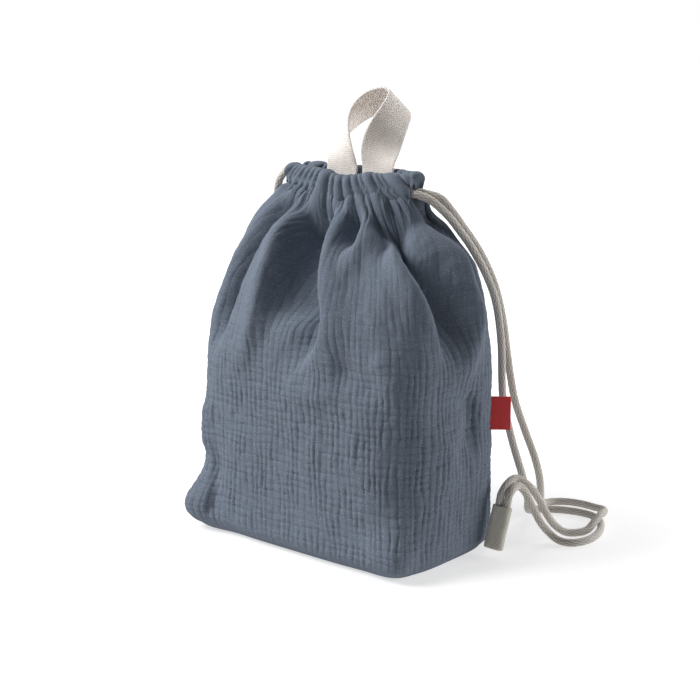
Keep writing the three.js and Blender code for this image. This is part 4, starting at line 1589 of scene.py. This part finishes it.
@dataclass
class CordTab:
    """A tab of webbing folded round both ends of a drawcord, with its edges sewn into the side seam."""

    form: BagForm
    length: float = 36 * MM
    wall: float = 1.6 * MM
    flange: float = 1.2 * MM
    foot_height: float = 7.5 * MM
    stand_off: float = 3 * MM
    tilt_back: float = math.radians(12)
    tilt_out: float = math.radians(9)
    turn: float = math.radians(20)
    clearance: float = 0.3 * MM
    cord_diameter: float = 6 * MM
    around: int = 72
    bend_points: int = 40
    edge_points: int = 7
    wall_points: int = 30

    @property
    def sleeve_radius(self) -> float:
        """The inside radius of the fold."""
        return self.cord_diameter / 2 + self.clearance

    @property
    def slot_spacing(self) -> float:
        """How far apart the two cords lie."""
        return self.cord_diameter + 2 * self.clearance

    @property
    def slot_inner(self) -> float:
        """How far out the inner cord lies."""
        return self.flange + self.wall + self.sleeve_radius

    def placed(self, hand: Hand, points: Array) -> Array:
        """Returns points of the tab's own frame in the bag's frame.

        Args:
            hand: The drawcord that the tab holds.
            points: Points with X out of the bag and Z up the sleeve.

        Returns:
            The same points in the bag's frame.
        """
        root = self.form.seam_point(self.foot_height + self.length / 2) + [self.stand_off, 0, 0]
        cos, sin = math.cos, math.sin
        turn, back, out = self.turn, -self.tilt_back, self.tilt_out
        about_z = np.array([[cos(turn), -sin(turn), 0], [sin(turn), cos(turn), 0], [0, 0, 1]])
        about_x = np.array([[1, 0, 0], [0, cos(back), -sin(back)], [0, sin(back), cos(back)]])
        about_y = np.array([[cos(out), 0, sin(out)], [0, 1, 0], [-sin(out), 0, cos(out)]])
        moved = points @ (about_z @ about_x @ about_y).T + root
        return moved * [hand.value, 1, 1]

    def slot_point(self, hand: Hand, slot: int, along: float) -> Array:
        """Returns the middle of a cord in the tab: slot 0 lies next to the bag and 1 outside it."""
        return self.placed(hand, np.array([self.slot_inner + slot * self.slot_spacing, 0, along]))

    def loop(self, radius: float) -> Array:
        """Returns an evenly spaced flat loop round both cords.

        Args:
            radius: How far from the cords' middles it runs.

        Returns:
            The loop's points.
        """
        angle = np.linspace(0, np.pi, self.bend_points)
        out, aside = radius * np.sin(angle), radius * np.cos(angle)
        outer = np.stack([self.slot_inner + self.slot_spacing + out, -aside], axis=-1)
        inner = np.stack([self.slot_inner - out, aside], axis=-1)
        return resample(closed(np.concatenate([outer, inner])), self.around + 1)[:-1]

    def section(self) -> Array:
        """Returns the rounded outline of the wall.

        Returns:
            Points as (share of the wall's half thickness from its middle, place along the tab).
        """
        half, corner = self.length / 2, self.wall / 2
        angle = half_turn(self.edge_points)
        top = np.stack([np.sin(angle), half - corner + corner * np.cos(angle)], axis=-1)
        down = np.linspace(half - corner, corner - half, self.wall_points)[1:-1]
        outer = np.stack([np.ones_like(down), down], axis=-1)
        return np.concatenate([top, outer, top[::-1] * [1, -1], outer[::-1] * [-1, 1]])

    def build(self, dresser: Dresser, hand: Hand) -> None:
        """Makes and dresses one tab.

        Args:
            dresser: What dresses it.
            hand: The drawcord that it holds.
        """
        outline, along = self.section().T
        loops = np.array([self.loop(self.sleeve_radius + self.wall / 2 * (1 + share)) for share in outline])
        rises = np.broadcast_to(along[:, None, None], (len(along), self.around, 1))
        points = self.placed(hand, np.concatenate([loops, rises], axis=-1))
        girth = 2 * math.pi * self.sleeve_radius + 2 * self.slot_spacing
        grain = spread(np.linspace(0, girth, self.around + 1), closed(along))
        if hand is Hand.RIGHT:
            points, grain = points[::-1], grain[::-1]
        name = f"tab_{hand.name.lower()}"
        piece = grid_object(f"{name}_sleeve", points, grain, wrap_columns=True, wrap_rows=True)
        dresser.dress(piece, TAB_TAPE, nodes=(name,))


@dataclass
class Drawcord:
    """A braided drawcord: a run through both casings and two strands that hang as a shoulder strap."""

    casings: Casings
    tab: CordTab
    hand: Hand
    diameter: float = 6 * MM
    strand_length: float = 0.64
    lead_in: float = 10.8 * MM
    run_points: int = 9
    run_dip_share: float = 0.75
    turn_reach: float = 8 * MM
    turn_shares: Point = (-0.72, 0.0, 0.72)
    plaits: int = 8
    plait_pitch: float = 3.4 * MM
    plait_depth: float = 0.2
    plait_roundness: float = 0.6
    plump: float = 1.1
    around: int = 40
    ring_step: float = 0.56 * MM
    first_lean: float = 0.1

    def height(self) -> float:
        """Returns the cord's height in the casings: the right cord runs below the left one."""
        return self.casings.middle() - self.hand.value * self.casings.cord_spacing / 2

    def centreline(self, strand: Strand) -> Array:
        """Returns the centreline of a strand, from the end of its casing into its tab.

        Args:
            strand: The strand.

        Returns:
            The centreline's points.
        """
        half, hand = self.casings.half_length, self.hand.value
        ends = self.casings.line(strand.side, hand * np.array([half, half - self.diameter]), self.height())
        outward = unit(ends[0] - ends[1])
        leave = [ends[0] + outward * self.casings.gap, ends[0] + outward * self.diameter]
        top = self.tab.length / 2
        stops = (top + self.lead_in, top, 0.0, -top + self.diameter / 2)
        enter = [self.tab.slot_point(self.hand, strand.slot, along) for along in stops]
        return smooth_route(np.array([*leave, *(np.array(strand.route) * MM), *enter]))

    def run(self) -> Array:
        """Returns the centreline of the stretch through both casings, with its turn near their far end.

        Returns:
            The centreline's points.
        """
        half, hand = self.casings.half_length, self.hand.value
        x = hand * np.linspace(half, 2 * self.turn_reach - half, self.run_points)
        there = self.casings.line(Side.FRONT, x, self.height())
        there[:, 2] -= self.run_dip_share * self.casings.dip(Side.FRONT, x)
        back = self.casings.line(Side.BACK, x[::-1], self.height())
        share = np.array(self.turn_shares)
        turn = np.stack([
            -hand * (half - self.turn_reach * (2 - np.sqrt(1 - share**2))),
            self.casings.form.mouth_shift + share * self.casings.end_spacing / 2,
            np.full_like(share, self.height()),
        ], axis=-1)
        return smooth_route(np.concatenate([there, turn, back]))

    def crowns(self, angle: Array, along: Array) -> Array:
        """Returns the braid's relief: plaits that cross over and under each other both ways round.

        Args:
            angle: Turns round the cord.
            along: Places along it.

        Returns:
            Places by turns, 0 in the grooves and 1 on the crowns.
        """
        turn = self.plaits * angle[None, :] / (2 * np.pi)
        climb = along[:, None] / self.plait_pitch / 2
        first, second = turn + climb, turn - climb
        over = (np.floor(first) + np.floor(second)) % 2 == 0
        return np.abs(np.sin(np.pi * np.where(over, first, second))) ** self.plait_roundness

    def braid(self, name: str, line: Array) -> tuple[bpy.types.Object, Array]:
        """Makes a braided cord along a line.

        Args:
            name: The piece's name.
            line: The cord's centreline.

        Returns:
            The cord and its evenly spaced centreline.
        """
        step = self.ring_step * 1
        centres = resample(line, round(arc_lengths(line)[-1] / step))
        tangents = unit(np.gradient(centres, axis=0))
        across = np.zeros_like(centres)
        side = unit(np.cross(tangents[0], UP + self.first_lean))
        for i, tangent in enumerate(tangents):
            side = square_to(side, tangent)
            across[i] = side
        other = np.cross(tangents, across)
        angle = np.linspace(0, 2 * np.pi, self.around, endpoint=False)
        along = arc_lengths(centres)
        crowns = self.crowns(angle, along)
        radius = self.plump * self.diameter / 2 * (1 - self.plait_depth * (1 - crowns))
        turn = angle[None, :, None]
        outward = across[:, None] * np.cos(turn) + other[:, None] * np.sin(turn)
        points = centres[:, None] + radius[..., None] * outward
        grain = spread(np.linspace(0, math.pi * self.diameter, self.around + 1), along)
        # The braid's relief goes to the cord's material in the crinkle map, which paints shade into its
        # grooves.
        relief = np.concatenate([crowns, crowns[:, :1]], axis=1)
        relief = np.stack([relief, relief], axis=-1)
        return grid_object(name, points, grain, wrap_columns=True, caps=True, crinkle=relief), centres

    def strands(self) -> dict[str, Array]:
        """Returns the centrelines of this cord's strands by node."""
        return {strand.node: self.centreline(strand) for strand in STRANDS if strand.hand is self.hand}

    def build(self, dresser: Dresser) -> None:
        """Args:
            dresser: What dresses them.
        """
        name = f"drawcord_{self.hand.name.lower()}_run"
        piece, _ = self.braid(f"{name}_braid", self.run())
        dresser.dress(piece, ROPE, nodes=(name,))
        for node, line in self.strands().items():
            piece, centres = self.braid(f"{node}_braid", line)
            dresser.dress(piece, ROPE, nodes=(node,))
            LOG.info("%s is %.4f m long", node, arc_lengths(centres)[-1])


@dataclass
class GrabHandle:
    """The carrying handle: one length of webbing with sewn feet and a twisted loop above the mouth."""

    casings: Casings
    width: float = 32 * MM
    thickness: float = 1.8 * MM
    spacing: float = 38 * MM
    rise: float = 51 * MM
    bulge: float = 19 * MM
    lean_back: float = 31 * MM
    lean_side: float = 9 * MM
    twist: float = math.radians(28)
    tilt: float = math.radians(38)
    clearance: float = 3 * MM
    foot_length: float = 19 * MM
    gather_room: float = 0.8 * MM
    blend_reach: float = 9 * MM
    steps: int = 140
    foot_steps: int = 20
    soft_steps: int = 6
    edge_points: int = 7
    face_points: int = 26
    turn_step: float = 0.001

    def foot(self) -> Array:
        """Finds where the loop leaves the right-hand foot.

        Returns:
            The point.
        """
        edge = self.casings.line(Side.BACK, np.array([(self.spacing + self.width) / 2]), 0.0)[0]
        inset = self.casings.thick / 2 + self.gather_room + self.thickness / 2
        top = self.casings.middle() + self.casings.tall / 2 + self.clearance
        return np.array([self.spacing / 2, edge[1] - inset, top])

    def line(self, turn: Array) -> Array:
        """Returns the loop's middle line.

        Args:
            turn: Places along it, from 0 at the left foot to pi at the right one.

        Returns:
            One point for each place.
        """
        foot = self.foot()
        bend = np.sin(turn) ** 2
        return np.stack([
            -np.cos(turn) * (foot[0] + self.bulge * bend) + self.lean_side * bend**2,
            foot[1] + self.lean_back * bend,
            foot[2] + self.rise * np.sin(turn),
        ], axis=-1)

    def across(self, turn: Array) -> Array:
        """Returns the direction across the loop's webbing.

        Args:
            turn: Places along the loop, from 0 at the left foot to pi at the right one.

        Returns:
            One direction for each place.
        """
        twist = turn + self.twist * np.sin(2 * turn)
        tilt = self.tilt * np.sin(turn) ** 2
        level = np.sin(twist)
        across = np.stack([-np.cos(twist), level * np.cos(tilt), -level * np.sin(tilt)], axis=-1)
        tangent = unit(self.line(turn + self.turn_step) - self.line(turn - self.turn_step))
        return square_to(across, tangent)

    def section(self) -> Array:
        """Returns the webbing's rounded section.

        Returns:
            Points as (across, out of its face).
        """
        half, corner = self.width / 2, self.thickness / 2
        angle = half_turn(self.edge_points)
        right = np.stack([half - corner + corner * np.cos(angle), corner * np.sin(angle)], axis=-1)
        over = np.linspace(half - corner, corner - half, self.face_points)[1:-1]
        top = np.stack([over, np.full_like(over, corner)], axis=-1)
        return np.concatenate([right, top, -right, -top])

    def build(self, dresser: Dresser) -> None:
        """Makes and dresses the handle.

        Args:
            dresser: What dresses it.
        """
        turn = np.linspace(0, np.pi, self.steps)
        middle, across = self.line(turn), self.across(turn)
        down = np.linspace(self.foot_length + self.clearance / 2, 0, self.foot_steps + 1)[:-1, None]
        middle = np.concatenate([middle[0] - down * UP, middle, middle[-1] - down[::-1] * UP])
        across = np.pad(across, ((self.foot_steps, self.foot_steps), (0, 0)), mode="edge")
        middle, across = softened(middle, self.soft_steps), softened(across, self.soft_steps)
        tangent = unit(np.gradient(middle, axis=0))
        across = square_to(across, tangent)
        face = np.cross(tangent, across)
        section = self.section()
        points = middle[:, None] + across[:, None] * section[None, :, :1]
        points = points + face[:, None] * section[None, :, 1:]
        grain = spread(closed(section[:, 0]), arc_lengths(middle))
        piece = grid_object("grab_handle", points, grain, wrap_columns=True, caps=True)
        nodes = ("handle_loop", "handle_foot_left", "handle_foot_right")
        dresser.dress(piece, WEBBING, None, nodes)
        start = self.foot() - UP * self.clearance / 2
        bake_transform(piece)


@dataclass
class SideTag:
    """A folded ribbon sewn into the right-hand seam."""

    form: BagForm
    length: float = 15 * MM
    tall: float = 28 * MM
    thickness: float = 1.2 * MM
    sewn_in: float = 3 * MM
    middle_height: float = 116 * MM
    turn: float = math.radians(38)
    gap: float = 0.3 * MM
    rows: int = 36
    fold_points: int = 9
    face_points: int = 20

    def outline(self) -> Array:
        """Returns the folded ribbon's section from above, before it is turned.

        Returns:
            Points as (out of the seam, out of its face).
        """
        radius = self.thickness / 2
        angle = half_turn(self.fold_points)
        fold = np.stack([self.length - radius + radius * np.cos(angle), radius * np.sin(angle)], axis=-1)
        inward = np.linspace(self.length - radius, -self.sewn_in, self.face_points)[1:]
        back = np.stack([inward, np.full_like(inward, radius)], axis=-1)
        return np.concatenate([fold, back, back[::-1] * [1, -1]])

    def build(self, dresser: Dresser) -> None:
        """Makes and dresses the tag.

        Args:
            dresser: What dresses it.
        """
        outline = self.outline()
        up = np.linspace(-self.tall / 2, self.tall / 2, self.rows)
        cos, sin = math.cos(self.turn), math.sin(self.turn)
        flat = outline @ np.array([[cos, sin], [-sin, cos]])
        radius = self.thickness / 2
        place = self.form.seam_point(self.middle_height) + [radius + self.gap, radius, 0]
        points = np.concatenate([
            np.broadcast_to(flat[None], (self.rows, *flat.shape)),
            np.broadcast_to(up[:, None, None], (self.rows, len(flat), 1)),
        ], axis=-1) + place
        grain = spread(closed(outline[:, 0]), up)
        piece = grid_object("side_tag_ribbon", points, grain, wrap_columns=True, caps=True)
        dresser.dress(piece, RIBBON, Body.TAG, ("side_tag",))


@dataclass(frozen=True)
class Lamp:
    """A square soft light: its place and width in metres and its power in watts."""

    name: str
    place: Point
    width: float
    power: float


LAMPS = (
    Lamp("key", (-1.15, -1.25, 1.6), 1.1, 55),
    Lamp("back_right", (1.4, 1.4, 0.5), 1.2, 25),
    Lamp("fill", (1.5, -1.0, 0.9), 1.4, 0.8),
    Lamp("behind", (-0.4, 1.9, 1.5), 1.2, 16),
    Lamp("top", (-0.3, -0.4, 2.2), 1.2, 3),
)


def facing(place: Point, aim: Point) -> Euler:
    """Returns the turn of a lamp or camera that looks from a place at an aim."""
    return (Vector(aim) - Vector(place)).to_track_quat("-Z", "Y").to_euler()


@dataclass
class Studio:
    """The floor, the soft lights and the camera."""

    camera_place: Point = (0.8601, -1.0174, 0.4752)
    camera_aim: Point = (-0.00218, 0.00714, 0.1592)
    lens: float = 84.92
    sensor: float = 36.0
    lamp_aim: Point = (0.0, 0.0, 0.15)
    floor_size: float = 12.0
    floor_colour: Colour = (0.5, 0.5, 0.5, 1.0)
    floor_fade: Range = (0.12, 0.55)
    floor_lift: Range = (0.61, 1.0)
    floor_bounce: Range = (0.34, 0.0)
    ambient: float = 0.02

    def camera(self) -> None:
        """Sets the camera at the photograph's viewing angle."""
        data = bpy.data.cameras.new("view")
        data.lens = self.lens
        data.sensor_width = self.sensor
        camera = bpy.data.objects.new("view", data)
        bpy.context.scene.collection.objects.link(camera)
        camera.location = self.camera_place
        camera.rotation_euler = facing(self.camera_place, self.camera_aim)
        bpy.context.scene.camera = camera

    def light(self, lamp: Lamp) -> None:
        """Adds a lamp that faces the bag's middle.

        Args:
            lamp: The lamp.
        """
        data = bpy.data.lights.new(lamp.name, "AREA")
        data.energy = lamp.power
        data.size = lamp.width
        light = bpy.data.objects.new(lamp.name, data)
        bpy.context.scene.collection.objects.link(light)
        light.location = lamp.place
        light.rotation_euler = facing(lamp.place, self.lamp_aim)

    def world(self) -> None:
        """Lights the scene evenly from all round, with white behind it."""
        world = bpy.data.worlds.new("studio")
        bench = Bench(world)
        level = bench.remap(bench.shown(), (0.0, 1.0), (self.ambient, 1.0))
        bench.close(bench.node("Background", {"Color": WHITE, "Strength": level}), "OutputWorld")
        bpy.context.scene.world = world

    def floor(self) -> None:
        """Lays a pale floor that keeps the bag's shadow and is white to the camera away from it."""
        half = self.floor_size / 2
        corners = np.array([(-half, -half, 0), (half, -half, 0), (half, half, 0), (-half, half, 0)])
        floor = mesh_object("floor", corners, [[0, 1, 2, 3]])
        bench = Bench(bpy.data.materials.new("pale_floor"))
        paint = bench.node("BsdfDiffuse", {"Color": self.floor_colour})
        place = bench.node("TexCoord").outputs["Object"]
        away = bench.node("VectorMath", {0: place}, operation="LENGTH").outputs["Value"]
        seen = bench.remap(away, self.floor_fade, self.floor_lift)
        given = bench.remap(away, self.floor_fade, self.floor_bounce)
        level = bench.remap(bench.shown(), (0.0, 1.0), (given, seen))
        glow = bench.node("Emission", {"Strength": level})
        bench.close(bench.node("AddShader", {0: paint.outputs[0], 1: glow.outputs[0]}))
        floor.data.materials.append(bench.owner)

    def build(self) -> None:
        """Sets up the whole studio."""
        bpy.context.scene.view_settings.view_transform = "Standard"
        self.camera()
        self.world()
        self.floor()
        for lamp in LAMPS:
            self.light(lamp)


def main() -> None:
    """Builds the backpack piece by piece and reports each one."""
    logging.basicConfig(level=logging.INFO, format="%(name)s: %(message)s")
    form = BagForm()
    casings = Casings(form)
    tab = CordTab(form)
    dresser = Dresser()
    Studio().build()
    cords = [Drawcord(casings, tab, hand) for hand in Hand]
    for cord in cords:
        cord.build(dresser)
        tab.build(dresser, cord.hand)
    lines = [line for cord in cords for line in cord.strands().values()]
    BagShell(form, casings).build(dresser, lines)
    casings.build(dresser)
    GrabHandle(casings).build(dresser)
    SideTag(form).build(dresser)


if __name__ == "__main__":
    main()
